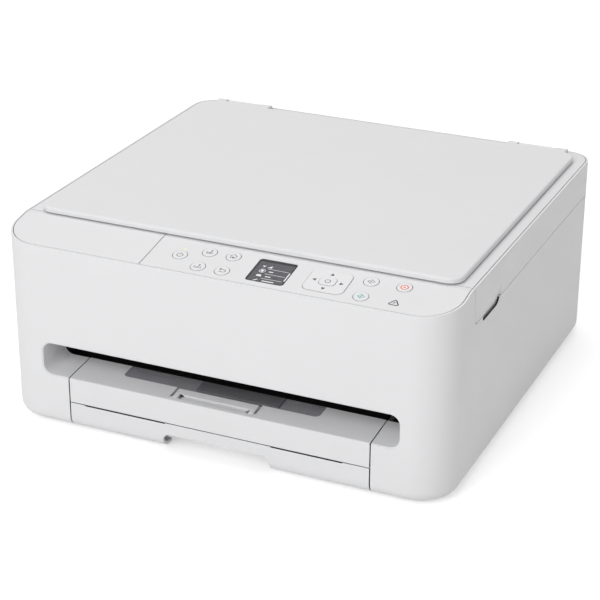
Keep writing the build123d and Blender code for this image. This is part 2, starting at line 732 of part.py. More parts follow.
def scanner_cover():
    """Top frame of the scanner unit, round the glass."""
    cover = body_prism(RIM + SEAM, TOP - PLATE_T, TOP)
    cover = cover & block(-BODY_W / 2, BODY_W / 2, fy(STRIP_DEPTH + SEAM), fy(BODY_D), bz(0), TOP + 1)
    half = WINDOW_W / 2
    cover -= block(-half, half, fy(WINDOW_FRONT), fy(WINDOW_FRONT + WINDOW_D), bz(0), TOP + 1)
    reach = LID_BARREL_R + 0.6
    return cover - pair(HINGE_NEAR - 0.6, HINGE_FAR + 0.6, fy(LID_AXIS_Y - reach), fy(LID_AXIS_Y + reach),
                        bz(0), TOP + 1)


def platen_glass():
    """Glass that the document lies on, under the top frame."""
    z = TOP - PLATE_T
    return block(-WINDOW_W / 2 - 4, WINDOW_W / 2 + 4, fy(WINDOW_FRONT - 4), fy(WINDOW_FRONT + WINDOW_D + 4),
                 z - GLASS_T, z)


def scanner_base():
    """Dark lower pan of the scanner unit, with its hinge knuckles."""
    front = split_y(bz(PAN_LOW)) + SEAM + WALL + 0.4
    rear = HINGE_SEAT - 1.0
    pan = block(-PAN_HALF, PAN_HALF, fy(front), fy(rear), bz(PAN_LOW), bz(PAN_TOP))
    pan -= block(-PAN_HALF + 2, PAN_HALF - 2, fy(front + 2), fy(rear - 2), bz(PAN_LOW + 2), bz(PAN_TOP + 1))
    shelf = WINDOW_W / 2 + 4
    window_rear = WINDOW_FRONT + WINDOW_D
    for y0, y1 in ((front + 1, WINDOW_FRONT - 1.6), (window_rear + 1.6, rear - 1)):
        pan += block(-shelf, shelf, fy(y0), fy(y1), bz(PAN_TOP - 2), bz(PAN_TOP))
    for x in (-SCANNER_HINGE_X, SCANNER_HINGE_X):
        lug = rod_x(KNUCKLE_R, x - 9, x + 9, fy(AXIS_Y), bz(AXIS_Z))
        lug += block(x - 9, x + 9, fy(rear - 1), fy(AXIS_Y), bz(AXIS_Z + 0.3), bz(AXIS_Z + KNUCKLE_R))
        pan += lug - rod_x(SCANNER_PIN_R + FIT, x - 10, x + 10, fy(AXIS_Y), bz(AXIS_Z))
    for side in (-1, 1):
        x = side * (PAN_HALF - 7)
        pan += block(x - 3, x + 3, fy(SCAN_ROD_Y - 4), fy(SCAN_ROD_Y + 4), bz(PAN_LOW + 1), bz(PAN_LOW + 11))
    pan -= rod_x(SCAN_ROD_R + FIT, -PAN_HALF + 2.5, PAN_HALF - 2.5, fy(SCAN_ROD_Y), bz(PAN_LOW + 7))
    return pan


def scan_rod():
    """Guide rod of the scan bar."""
    half = PAN_HALF - 2.5
    return rod_x(SCAN_ROD_R, -half, half, fy(SCAN_ROD_Y), bz(PAN_LOW + 7))


def scan_bar():
    """Long light and sensor bar that travels under the glass."""
    x0, x1 = SCAN_X - SCAN_HALF, SCAN_X + SCAN_HALF
    y0, y1 = fy(WINDOW_FRONT - 1), fy(WINDOW_FRONT + WINDOW_D + 1)
    top = bz(PAN_TOP - 0.6)
    bar = block(x0, x1, y0, y1, bz(PAN_LOW + 11.2), top)
    bar -= block(SCAN_X - 2.2, SCAN_X + 2.2, y0 + 4, y1 - 4, top - 1.2, top + 1)
    shoe = block(x0, x1, fy(SCAN_ROD_Y - 8), fy(SCAN_ROD_Y + 8), bz(PAN_LOW + 2.6), bz(PAN_LOW + 12))
    return bar + shoe - rod_x(SCAN_ROD_R + FIT, x0 - 1, x1 + 1, fy(SCAN_ROD_Y), bz(PAN_LOW + 7))


def scanner_hinge_brackets():
    """Two brackets on the rear panel, each with the pin of the scanner unit's hinge."""
    brackets = []
    front, rear = fy(AXIS_Y - 3.5), fy(AXIS_Y + 2.2)
    for x in (-SCANNER_HINGE_X, SCANNER_HINGE_X):
        ears = block(x - 12, x - 9.4, front, rear, bz(AXIS_Z - 16), bz(AXIS_Z + 3))
        ears += block(x + 9.4, x + 12, front, rear, bz(AXIS_Z - 16), bz(AXIS_Z + 3))
        ears += block(x - 12, x + 12, front, fy(BODY_D - WALL - 1.5), bz(AXIS_Z - 22), bz(AXIS_Z - 10))
        brackets.append(ears + rod_x(SCANNER_PIN_R, x - 10, x + 10, fy(AXIS_Y), bz(AXIS_Z)))
    return Compound(children=brackets)


# Document lid

def document_lid():
    """Thin lid with rounded edges and two hinge barrels at the back."""
    low, high = TOP + LID_GAP, TOP + LID_GAP + LID_T
    middle = fy((LID_FRONT + LID_REAR) / 2)
    plate = extrude(RectangleRounded(2 * LID_HALF, LID_REAR - LID_FRONT, LID_R), LID_T)
    lid = Pos(0, middle, low) * plate
    lid = fillet(lid.edges().group_by(Axis.Z)[-1], 1.6)
    for side in (-1, 1):
        ends = sorted((side * HINGE_NEAR, side * HINGE_FAR))
        barrel = rod_x(LID_BARREL_R, ends[0], ends[1], fy(LID_AXIS_Y), LID_AXIS_Z)
        barrel += block(ends[0], ends[1], fy(LID_REAR - 4), fy(LID_AXIS_Y), low, high - 0.1)
        barrel -= block(ends[0] + HINGE_EAR, ends[1] - HINGE_EAR,
                        fy(LID_AXIS_Y - LID_BARREL_R - 0.6), fy(LID_AXIS_Y + 8), TOP - 8, high + 1)
        barrel -= rod_x(LID_PIN_R + FIT, ends[0] - 1, ends[1] + 1, fy(LID_AXIS_Y), LID_AXIS_Z)
        lid += barrel
    return lid


def lid_pad():
    """White pad under the lid that presses the document on the glass."""
    top = TOP + LID_GAP
    low = TOP - PLATE_T + 0.3
    inset = 1.6
    return block(-WINDOW_W / 2 + inset, WINDOW_W / 2 - inset, fy(WINDOW_FRONT + inset),
                 fy(WINDOW_FRONT + WINDOW_D - inset), low, top)


def lid_hinge_units():
    """Fixed halves of the lid's two hinges, each with its pin."""
    units = []
    under = TOP - PLATE_T
    for side in (-1, 1):
        ends = sorted((side * HINGE_NEAR, side * HINGE_FAR))
        x0, x1 = ends[0] + HINGE_EAR + 0.4, ends[1] - HINGE_EAR - 0.4
        unit = rod_x(LID_BARREL_R - 0.4, x0, x1, fy(LID_AXIS_Y), LID_AXIS_Z)
        unit += block(x0, x1, fy(LID_AXIS_Y - 3.2), fy(LID_AXIS_Y + 3.2), under - 4, LID_AXIS_Z)
        unit += block(x0, x1, fy(HINGE_SEAT), fy(BODY_D - WALL), under - 4, under)
        unit += rod_x(LID_PIN_R, ends[0] + 0.5, ends[1] - 0.5, fy(LID_AXIS_Y), LID_AXIS_Z)
        units.append(unit)
    return Compound(children=units)


# Paper cassette


def cassette():
    """Lower drawer: front with a finger grip, and the paper box behind it."""
    top = TRAY_LOW - 0.4
    front = block(-DRAWER_HALF, DRAWER_HALF, fy(0), fy(FLANGE), bz(0), bz(top))
    front = fillet(front.edges().filter_by(Axis.X).group_by(Axis.Y)[0].sort_by(Axis.Z)[0], BASE_R)
    hollow = block(-DRAWER_HALF - 1, DRAWER_HALF + 1, fy(WALL), fy(FLANGE + 1), bz(WALL), bz(TRAY_LOW))
    hollow = fillet(hollow.edges().filter_by(Axis.X).group_by(Axis.Y)[0].sort_by(Axis.Z)[0], BASE_R - WALL)
    front -= hollow
    grip = block(-GRIP_HALF, GRIP_HALF, fy(-1), fy(FLANGE + 1), bz(-1), bz(GRIP_HIGH))
    front -= fillet(grip.edges().filter_by(Axis.Y).group_by(Axis.Z)[-1], GRIP_R)
    ease = [
        (fy(-0.1), bz(top - FRONT_EASE - 0.1)),
        (fy(FRONT_EASE + 0.1), bz(top + 0.1)),
        (fy(-0.1), bz(top + 0.1)),
    ]
    front -= yz_prism(ease, -DRAWER_HALF - 1, DRAWER_HALF + 1)
    for x0, x1 in CASSETTE_NOTCHES:
        front -= block(x0, x1, fy(-1), fy(FLANGE + 1), bz(top - NOTCH_DOWN), bz(top + 1))
    z0, z1 = bz(CASSETTE_FLOOR), bz(TRAY_LOW - 0.6)
    y0, y1 = fy(WALL - 0.4), fy(CASSETTE_LEN)
    box = block(-CASSETTE_HALF, CASSETTE_HALF, y0, y1, z0, z1)
    box -= block(-CASSETTE_HALF + 2, CASSETTE_HALF - 2, fy(12), y1 - 2, z0 + 2, z1 + 1)
    side = GRIP_HALF + 2
    box -= block(-side, side, fy(-1), fy(GRIP_DEPTH - 2), z0 - 1, bz(GRIP_HIGH))
    roof = block(-side, side, fy(WALL - 0.4), fy(GRIP_DEPTH), bz(GRIP_HIGH), bz(GRIP_HIGH + 1.6))
    roof += block(-side, side, fy(GRIP_DEPTH - 2), fy(GRIP_DEPTH), bz(WALL + 0.3), bz(GRIP_HIGH + 1))
    return front + box + roof


def side_guide(side):
    """Sliding guide for one long edge of the paper."""
    z0 = bz(CASSETTE_FLOOR + 2) + CLEAR
    middle = GUIDE_FRONT + GUIDE_LONG / 2
    x0, x1 = sorted((side * PAPER_HALF, side * (PAPER_HALF + 2)))
    guide = block(x0, x1, fy(GUIDE_FRONT), fy(GUIDE_FRONT + GUIDE_LONG), z0, bz(TRAY_LOW - 1.4))
    foot0, foot1 = sorted((side * PAPER_HALF, side * (PAPER_HALF - 26)))
    guide += block(foot0, foot1, fy(middle - 13), fy(middle + 13), z0, z0 + 1.2)
    grip0, grip1 = sorted((side * PAPER_HALF, side * (PAPER_HALF + 8)))
    return guide + block(grip0, grip1, fy(middle - 7), fy(middle + 7), z0, z0 + 9)


def end_guide():
    """Sliding guide for the front edge of the paper."""
    z0 = bz(CASSETTE_FLOOR + 2) + CLEAR
    front = GRIP_DEPTH + 1
    guide = block(-24, 24, fy(front), fy(front + 2.5), z0, bz(TRAY_LOW - 1.4))
    return guide + block(-14, 14, fy(front), fy(front + 28), z0, z0 + 1.2)


# Output tray


def output_tray():
    """Upper drawer: white front and sloping top with pockets for its fittings."""
    z_low = bz(TRAY_LOW + 0.2)
    outline = [
        (fy(FRONT_EASE), z_low),
        (fy(0), z_low + FRONT_EASE),
        (fy(0), bz(SLOT_LOW - TRAY_EASE)),
        (fy(0.3 * TRAY_EASE), bz(SLOT_LOW - 0.3 * TRAY_EASE)),
        (fy(TRAY_EASE), bz(tray_z(TRAY_EASE))),
        (fy(TRAY_DEPTH), bz(tray_z(TRAY_DEPTH))),
        (fy(TRAY_DEPTH), bz(TRAY_LOW + 1.5)),
        (fy(FLANGE), bz(TRAY_LOW + 1.5)),
        (fy(FLANGE - 1), z_low),
    ]
    tray = yz_prism(outline, -DRAWER_HALF, DRAWER_HALF)
    inside = [
        (fy(WALL), bz(TRAY_LOW - 1)),
        (fy(WALL), bz(tray_z(0) - 6.8)),
        (fy(INSERT_FRONT + 4), bz(tray_z(INSERT_FRONT + 4) - 6.8)),
        (fy(INSERT_FRONT + 8), bz(tray_z(INSERT_FRONT + 8) - TRAY_T - INSERT_T)),
        (fy(TRAY_DEPTH - 2), bz(tray_z(TRAY_DEPTH) - TRAY_T - INSERT_T)),
        (fy(TRAY_DEPTH - 2), bz(TRAY_LOW - 1)),
    ]
    tray -= yz_prism(inside, -DRAWER_HALF + 2, DRAWER_HALF - 2)
    tray -= insert_layer(-1)
    tray -= tray_layer(DECK_FRONT, TRAY_DEPTH + 1, -1, INSERT_LOW, -DRAWER_HALF - 1, DRAWER_HALF + 1)
    x0, x1 = STOP_X - STOP_HALF - STOP_NOTCH, STOP_X + STOP_HALF + STOP_NOTCH
    axis_z = bz(tray_z(STOP_AXIS_Y) - STOP_AXIS_DOWN)
    tray -= rod_x(STOP_PIN_R + FIT, x0 - 2.2, x1 + 2.2, fy(STOP_AXIS_Y), axis_z)
    tray -= tray_layer(4.4, INSERT_FRONT + 0.2, -1, 3.8, x0, x1)
    tray += yz_prism(
        [
            (fy(4.0), bz(tray_z(4.4) - 5)),
            (fy(4.0), bz(tray_z(4.4) - 0.6)),
            (fy(9.6), bz(tray_z(9.6) - 1.6)),
            (fy(9.6), bz(tray_z(9.6) - 5)),
        ],
        STOP_X - STOP_HALF + 6.5,
        STOP_X + STOP_HALF - 6.5,
    )
    return tray


def insert_layer(top):
    """Layer in the tray's top with rounded front corners, from a depth to the insert's underside."""
    layer = tray_layer(INSERT_FRONT, DECK_FRONT + 1, top, INSERT_LOW, INSERT_LEFT, INSERT_RIGHT)
    return fillet(layer.edges().filter_by(Axis.Z).group_by(Axis.Y)[0], INSERT_R)


def tray_insert():
    """Dark plate let into the tray's top, with a raised band and a wide rear deck."""
    plate = insert_layer(INSERT_SUNK)
    deck = tray_layer(DECK_FRONT, TRAY_DEPTH, 0, INSERT_LOW, -DRAWER_HALF, DRAWER_HALF)
    band = tray_layer(INSERT_FRONT + 1.6, DECK_FRONT + 1, -0.1, INSERT_SUNK + 0.4, BAND_LEFT, BAND_RIGHT)
    return plate + deck + band


def paper_stop():
    """U-shaped stop that swings up out of the tray's front."""
    z_axis = bz(tray_z(STOP_AXIS_Y) - STOP_AXIS_DOWN)
    y0, y1 = 10.1, STOP_REAR
    x0, x1 = STOP_X - STOP_HALF, STOP_X + STOP_HALF
    stop = yz_prism(
        [
            (fy(y0), bz(tray_z(y0) - 1.9)),
            (fy(y0), bz(tray_z(y0) + 0.2)),
            (fy(y1), bz(tray_z(y1) + 0.2)),
            (fy(y1), bz(tray_z(y1) - 1.9)),
        ],
        x0,
        x1,
    )
    for edge in (x0, x1 - 4.0):
        arm = yz_prism(
            [
                (fy(STOP_AXIS_Y), z_axis - 1.6),
                (fy(STOP_AXIS_Y), z_axis + 1.6),
                (fy(y0 + 1), bz(tray_z(y0 + 1) + 0.2)),
                (fy(y0 + 1), bz(tray_z(y0 + 1) - 1.9)),
            ],
            edge,
            edge + 4.0,
        )
        stop += arm + rod_x(1.6, edge, edge + 4.0, fy(STOP_AXIS_Y), z_axis)
    pin = STOP_NOTCH + 2.0
    stop += rod_x(STOP_PIN_R, x0 - pin, x0 + 1, fy(STOP_AXIS_Y), z_axis)
    stop += rod_x(STOP_PIN_R, x1 - 1, x1 + pin, fy(STOP_AXIS_Y), z_axis)
    return stop


# Print mechanism


def gear(teeth, width, x, y, z, bore, turn):
    """Spur gear about an axis along X, with straight-sided teeth."""
    pitch_r = teeth * GEAR_MODULE / 2
    tip_r, root_r = pitch_r + 0.8 * GEAR_MODULE, pitch_r - 1.15 * GEAR_MODULE
    step = 360 / teeth
    root_half, tip_half = 0.235 * step, 0.11 * step
    wheel = Circle(root_r + 0.2)
    tooth = [(root_r, -root_half), (tip_r, -tip_half), (tip_r, tip_half), (root_r, root_half)]
    corners = [(r * math.cos(math.radians(a)), r * math.sin(math.radians(a))) for r, a in tooth]
    shape = make_face(Polyline(*corners, close=True))
    for number in range(teeth):
        wheel += Rot(0, 0, turn + number * step) * shape
    wheel -= Circle(bore)
    return extrude(Plane(origin=(x, y, z), x_dir=(0, 1, 0), z_dir=(1, 0, 0)) * wheel, width)


def feed_gear():
    """Gear on the feed roller's shaft."""
    return gear(GEAR_TEETH, GEAR_W, GEAR_X, fy(FEED_Y), bz(ROLLER_Z), SHAFT_R, 0)


def idler_gear():
    """Gear between the feed and exit rollers, on its own pin."""
    half_step = 180 / GEAR_TEETH
    return gear(GEAR_TEETH, GEAR_W, GEAR_X, fy(IDLER_Y), bz(ROLLER_Z), 2.5 + FIT, half_step)


def exit_gear():
    """Gear on the exit roller's shaft."""
    return gear(GEAR_TEETH, GEAR_W, GEAR_X, fy(EXIT_Y), bz(ROLLER_Z), SHAFT_R, 0)


def drive_pinion():
    """Small gear of the feed motor, with its shaft."""
    pinion = gear(PINION_TEETH, GEAR_W, GEAR_X, fy(FEED_Y), bz(PINION_Z), 1.5, 90 + 180 / PINION_TEETH)
    return pinion + rod_x(1.5, FRAME_LEFT - 8, GEAR_X + GEAR_W, fy(FEED_Y), bz(PINION_Z))


def roller(y, radius):
    """Shaft right across the frame with a rubber-coated middle."""
    shaft = rod_x(SHAFT_R, FRAME_LEFT - 1, FRAME_RIGHT + 1, fy(y), bz(ROLLER_Z))
    return shaft + rod_x(radius, -108, 108, fy(y), bz(ROLLER_Z))


def print_frame():
    """Folded steel frame: rail, two end plates and the pivots that they carry."""
    rear = block(FRAME_LEFT, FRAME_RIGHT, fy(RAIL_Y), fy(RAIL_Y + FRAME_T), bz(RAIL_LOW), bz(RAIL_TOP))
    rear += block(FRAME_LEFT, FRAME_RIGHT, fy(RAIL_Y - 9), fy(RAIL_Y + 1),
                  bz(RAIL_TOP - FRAME_T), bz(RAIL_TOP))
    frame = rear
    for x in (FRAME_LEFT, FRAME_RIGHT - FRAME_T):
        end = block(x, x + FRAME_T, fy(FRAME_FRONT), fy(RAIL_Y + FRAME_T), bz(WALL + 2), bz(RAIL_TOP - 4))
        end += block(x, x + FRAME_T, fy(RAIL_Y - 9), fy(RAIL_Y + FRAME_T), bz(RAIL_LOW), bz(RAIL_TOP))
        for y in (FEED_Y, EXIT_Y):
            end -= rod_x(SHAFT_R + FIT, x - 1, x + FRAME_T + 1, fy(y), bz(ROLLER_Z))
        frame += end
    frame -= rod_x(1.5 + FIT, FRAME_LEFT - 1, FRAME_LEFT + 2, fy(FEED_Y), bz(PINION_Z))
    frame += rod_x(2.5, FRAME_LEFT + 0.5, GEAR_X + GEAR_W + 1, fy(IDLER_Y), bz(ROLLER_Z))
    frame -= rod_y(2.0 + FIT, PULLEY_RIGHT, fy(RAIL_Y - 1), fy(RAIL_Y + 3), bz(BELT_Z))
    frame += rod_y(2.0, PULLEY_LEFT, fy(BELT_Y - 0.8), fy(RAIL_Y + 0.5), bz(BELT_Z))
    for x in (-15.2, 13.7):
        frame += block(x, x + FRAME_T, fy(RAIL_Y), fy(RAIL_Y + 14), bz(46), bz(RAIL_LOW + 2))
    frame += rod_x(2.0, -15, 15, fy(PICKUP_Y), bz(PICKUP_Z))
    return frame


def pickup_arm():
    """Arm that lowers the pick-up roller into the cassette."""
    arm = None
    for x in (-12.0, 10.4):
        plate = yz_prism(
            [
                (fy(PICKUP_Y - 4), bz(PICKUP_Z + 4)),
                (fy(PICKUP_Y + 4), bz(PICKUP_Z + 4)),
                (fy(PICK_ROLLER_Y + 4), bz(PICK_ROLLER_Z + 3)),
                (fy(PICK_ROLLER_Y + 3), bz(PICK_ROLLER_Z - 3)),
                (fy(PICK_ROLLER_Y - 5), bz(PICK_ROLLER_Z - 2)),
                (fy(PICKUP_Y - 4), bz(PICKUP_Z - 4)),
            ],
            x,
            x + 1.6,
        )
        arm = plate if arm is None else arm + plate
    arm += yz_prism(
        [
            (fy(PICKUP_Y + 3), bz(PICKUP_Z + 3)),
            (fy(PICKUP_Y + 16), bz(PICKUP_Z - 3.6)),
            (fy(PICKUP_Y + 15.3), bz(PICKUP_Z - 5)),
            (fy(PICKUP_Y + 3), bz(PICKUP_Z + 1.2)),
        ],
        -11,
        11,
    )
    arm -= rod_x(2.0 + FIT, -13, 13, fy(PICKUP_Y), bz(PICKUP_Z))
    return arm + rod_x(2.0, -11, 11, fy(PICK_ROLLER_Y), bz(PICK_ROLLER_Z))


def pickup_roller():
    """Rubber roller that takes the top sheet."""
    tyre = rod_x(PICK_ROLLER_R, -9.8, 9.8, fy(PICK_ROLLER_Y), bz(PICK_ROLLER_Z))
    return tyre - rod_x(2.0 + FIT, -10, 10, fy(PICK_ROLLER_Y), bz(PICK_ROLLER_Z))


def platen():
    """Ribbed support under the print head, on a leg and the maintenance unit."""
    y0, y1 = fy(EXIT_Y + 9), fy(FEED_Y - 8)
    left = -BAY_HALF - BAY_WALL
    deck = block(left, UNIT_LEFT + 3, y0, y1, bz(PLATEN_Z - 3), bz(PLATEN_Z))
    for number in range(14):
        x = -104 + 16 * number
        deck += block(x - 0.8, x + 0.8, y0, y1, bz(PLATEN_Z - 0.5), bz(PLATEN_Z + 1.5))
    return deck + block(left, left + 2.4, fy(IDLER_Y - 10), fy(IDLER_Y + 10), bz(BAY_TOP), bz(PLATEN_Z - 2))


def star_wheel_bar():
    """Bar of small star wheels above the exit roller."""
    y, z = fy(EXIT_Y), bz(ROLLER_Z + EXIT_R + CLEAR + STAR_R)
    low = bz(ROLLER_Z + GEAR_TEETH * GEAR_MODULE / 2 + GEAR_MODULE + 1)
    bar = block(FRAME_LEFT + FRAME_T, FRAME_RIGHT - FRAME_T, y - 4, y + 4, low, low + 2.4)
    for number in range(9):
        x = -96 + 24 * number
        bar += rod_x(STAR_R, x - 0.8, x + 0.8, y, z)
        bar += block(x - 2.4, x - 0.8, y - 1.5, y + 1.5, z - 1, low + 1)
        bar += block(x + 0.8, x + 2.4, y - 1.5, y + 1.5, z - 1, low + 1)
    return bar


def maintenance_unit():
    """Capping and wiping station under the carriage's home place."""
    top = PLATEN_Z - 3
    y0, y1 = IDLER_Y - 14, IDLER_Y + 16
    unit = block(UNIT_LEFT, UNIT_LEFT + 50, fy(y0 - 4), fy(y1 + 6), bz(BAY_TOP), bz(top))
    for x in (UNIT_LEFT + 6, UNIT_LEFT + 28):
        unit += block(x, x + 16, fy(y0), fy(y1), bz(top - 1), bz(CARRIAGE_LOW - 4.5))
        unit -= block(x + 2, x + 14, fy(y0 + 2), fy(y1 - 2), bz(top + 1), bz(CARRIAGE_LOW))
    return unit


def carriage():
    """Open carriage that holds the cartridges and rides on the rail."""
    x0, x1 = CARRIAGE_X - CARRIAGE_HALF, CARRIAGE_X + CARRIAGE_HALF
    front, back = EXIT_Y + 9, RAIL_Y - 11
    low, high = bz(CARRIAGE_LOW), bz(CARRIAGE_HIGH)
    holder = block(x0, x1, fy(front), fy(back), low, high)
    for left in (x0 + 2, CARRIAGE_X + 1):
        holder -= block(left, left + CARRIAGE_HALF - 3, fy(front + 2), fy(back - 2), low + 3, high + 1)
    holder += block(x0 + 12, x1 - 12, fy(front + 12), fy(back - 14), low - 3.5, low + 1)
    hook0, hook1 = x0 + 4, x1 - 4
    rail_low, rail_high = RAIL_TOP - FRAME_T - CLEAR, RAIL_TOP + CLEAR
    holder += block(hook0, hook1, fy(back - 2), fy(RAIL_Y - 2.2), bz(rail_high), bz(rail_high + 2))
    holder += block(hook0, hook1, fy(back - 2), fy(back + 0.8), high - 4, bz(rail_high + 1))
    holder += block(hook0, hook1, fy(back - 1), fy(RAIL_Y - 2.2), bz(rail_low - 2), bz(rail_low))
    belt_low = BELT_Z + PULLEY_R + CLEAR
    for z0, z1 in ((belt_low - 3, belt_low - 0.5), (belt_low + BELT_T + 0.5, belt_low + BELT_T + 3)):
        holder += block(CARRIAGE_X - 8, CARRIAGE_X + 8, fy(back - 1), fy(BELT_Y + BELT_W), bz(z0), bz(z1))
    return holder


def ink_cartridges():
    """Two cartridges standing in the carriage."""
    front, back = EXIT_Y + 11.3, RAIL_Y - 13.3
    low, high = bz(CARRIAGE_LOW + 3), bz(CARRIAGE_HIGH - 4)
    tanks = []
    for left in (CARRIAGE_X - CARRIAGE_HALF + 2.3, CARRIAGE_X + 1.3):
        tank = block(left, left + CARRIAGE_HALF - 3.6, fy(front), fy(back), low, high)
        tank += block(left + 3, left + CARRIAGE_HALF - 6.6, fy(front + 4), fy(front + 14), high - 1, high + 5)
        tanks.append(tank)
    return Compound(children=tanks)


def pulley(x, motor_side):
    """Belt pulley; the driven one has the motor's shaft."""
    z = bz(BELT_Z)
    wheel = rod_y(PULLEY_R, x, fy(BELT_Y - 0.2), fy(BELT_Y + BELT_W + 0.2), z)
    wheel += rod_y(PULLEY_R + 1.0, x, fy(BELT_Y + BELT_W + 0.2), fy(BELT_Y + BELT_W + 1.0), z)
    if motor_side:
        return wheel + rod_y(2.0, x, fy(BELT_Y), fy(RAIL_Y + FRAME_T + 6), z)
    return wheel - rod_y(2.0 + FIT, x, fy(BELT_Y - 2), fy(RAIL_Y), z)


def carriage_belt():
    """Toothed belt loop round the two pulleys."""
    inner = PULLEY_R + CLEAR
    span = PULLEY_RIGHT - PULLEY_LEFT
    middle = Pos((PULLEY_RIGHT + PULLEY_LEFT) / 2, bz(BELT_Z))
    loop = middle * SlotCenterToCenter(span, 2 * (inner + BELT_T))
    loop -= middle * SlotCenterToCenter(span, 2 * inner)
    return xz_prism(loop, fy(BELT_Y), fy(BELT_Y + BELT_W))


def drive_motors():
    """The carriage motor behind the rail and the feed motor outside the left end plate."""
    rear = RAIL_Y + FRAME_T
    can = rod_y(MOTOR_R, PULLEY_RIGHT, fy(rear), fy(rear + MOTOR_LEN), bz(BELT_Z))
    can -= rod_y(2.0 + FIT, PULLEY_RIGHT, fy(RAIL_Y), fy(RAIL_Y + FRAME_T + 7), bz(BELT_Z))
    feed = rod_x(MOTOR_R, FRAME_LEFT - MOTOR_LEN, FRAME_LEFT, fy(FEED_Y), bz(PINION_Z))
    feed -= rod_x(1.5 + FIT, FRAME_LEFT - 9, FRAME_LEFT + 1, fy(FEED_Y), bz(PINION_Z))
    return Compound(children=[can, feed])


def all_parts():
    """Every node's name with its shape."""
    parts = {
        "outer_case": outer_case(),
        "base_chassis": base_chassis(),
        "rear_cover": rear_cover(),
        "mains_inlet": mains_inlet(),
        "power_supply": power_supply(),
        "main_board": main_board(),
        "rear_screws": rear_screws(),
        "feet": feet(),
        "slot_liner": slot_liner(),
        "top_cover_left": top_cover_left(),
        "operation_panel": operation_panel(),
        "panel_board": panel_board(),
        "display_module": display_module(),
        "power_lamp": power_lamp(),
        "pad_carrier": pad_carrier(),
        "direction_pad": direction_pad(),
        "ok_button": ok_button(),
        "scanner_skirt": scanner_skirt(),
        "scanner_cover": scanner_cover(),
        "scanner_base": scanner_base(),
        "platen_glass": platen_glass(),
        "scan_rod": scan_rod(),
        "scan_bar": scan_bar(),
        "scanner_hinge_brackets": scanner_hinge_brackets(),
        "document_lid": document_lid(),
        "lid_pad": lid_pad(),
        "lid_hinge_units": lid_hinge_units(),
        "cassette": cassette(),
        "side_guide_left": side_guide(-1),
        "side_guide_right": side_guide(1),
        "end_guide": end_guide(),
        "output_tray": output_tray(),
        "tray_insert": tray_insert(),
        "paper_stop": paper_stop(),
        "print_frame": print_frame(),
        "platen": platen(),
        "star_wheel_bar": star_wheel_bar(),
        "maintenance_unit": maintenance_unit(),
        "feed_roller": roller(FEED_Y, FEED_R),
        "exit_roller": roller(EXIT_Y, EXIT_R),
        "feed_gear": feed_gear(),
        "idler_gear": idler_gear(),
        "exit_gear": exit_gear(),
        "drive_pinion": drive_pinion(),
        "pickup_arm": pickup_arm(),
        "pickup_roller": pickup_roller(),
        "carriage": carriage(),
        "ink_cartridges": ink_cartridges(),
        "drive_pulley": pulley(PULLEY_RIGHT, True),
        "idler_pulley": pulley(PULLEY_LEFT, False),
        "carriage_belt": carriage_belt(),
        "drive_motors": drive_motors(),
    }
    for name, (x, y) in ROUND_BUTTONS.items():
        parts[name] = round_button(x, y)
    return parts


os.makedirs("parts", exist_ok=True)
for node, shape in all_parts().items():
    export_step(shape, f"parts/{node}.step")
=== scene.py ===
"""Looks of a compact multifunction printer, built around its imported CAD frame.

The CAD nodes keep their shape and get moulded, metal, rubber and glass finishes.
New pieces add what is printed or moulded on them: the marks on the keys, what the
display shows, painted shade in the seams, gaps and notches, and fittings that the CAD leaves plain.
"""

import json
import logging
import math
from dataclasses import dataclass, fields
from enum import Enum

import bpy
from mathutils import Matrix, Vector


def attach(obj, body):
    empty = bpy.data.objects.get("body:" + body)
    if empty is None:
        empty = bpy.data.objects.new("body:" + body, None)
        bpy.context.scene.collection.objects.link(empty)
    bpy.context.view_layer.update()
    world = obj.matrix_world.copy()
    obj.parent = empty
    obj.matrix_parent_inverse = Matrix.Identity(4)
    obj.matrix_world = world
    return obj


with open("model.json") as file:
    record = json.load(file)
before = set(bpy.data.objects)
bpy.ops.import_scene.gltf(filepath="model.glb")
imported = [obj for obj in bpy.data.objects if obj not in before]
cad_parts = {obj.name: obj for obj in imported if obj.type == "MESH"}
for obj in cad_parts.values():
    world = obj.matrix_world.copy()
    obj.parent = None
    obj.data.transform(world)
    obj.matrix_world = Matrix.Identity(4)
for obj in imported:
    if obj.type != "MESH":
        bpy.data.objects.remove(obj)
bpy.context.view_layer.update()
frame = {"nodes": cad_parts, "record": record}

LOG = logging.getLogger("printer")
MM = 0.001
RIGHT = Vector((1.0, 0.0, 0.0))
REARWARD = Vector((0.0, 1.0, 0.0))
UP = Vector((0.0, 0.0, 1.0))
SIDES = ((-1, "left"), (1, "right"))

# The body's sizes in millimetres, and the direction that the sloping strip faces.
FRONT_Y = -177.5
FOOT = 1.5
HALF_WIDTH = 186.0
DEPTH = 355.0
TOP = 160.0
STRIP_OUT = Vector((0.0, -0.17021, 0.98541))

# The tray insert in metres: where it turns black, and the ends of its middle band, which is darker because
# the sides beside it are painted lighter.
DECK_FRONT = -0.1441
BAND = (-0.026, 0.044)

Colour = tuple[float, float, float]
Point = tuple[float, float]
Line = tuple[list[Point], bool]
Sign = tuple[tuple[Line, ...], tuple[list[Point], ...]]
Material = bpy.types.Material
Socket = bpy.types.NodeSocket
Thing = bpy.types.Object


class Kind(Enum):
    """The kinds of finish that a material slot can have."""

    MOULDED = "moulded"
    # Lighter copies of one plastic's colour, as painted light.
    TWO_TONE = "two_tone"
    METAL = "metal"
    RUBBER = "rubber"
    GLASS = "glass"
    GLOSS = "gloss"
    BOARD = "board"
    FOAM = "foam"
    LAMP = "lamp"
    INK = "ink"


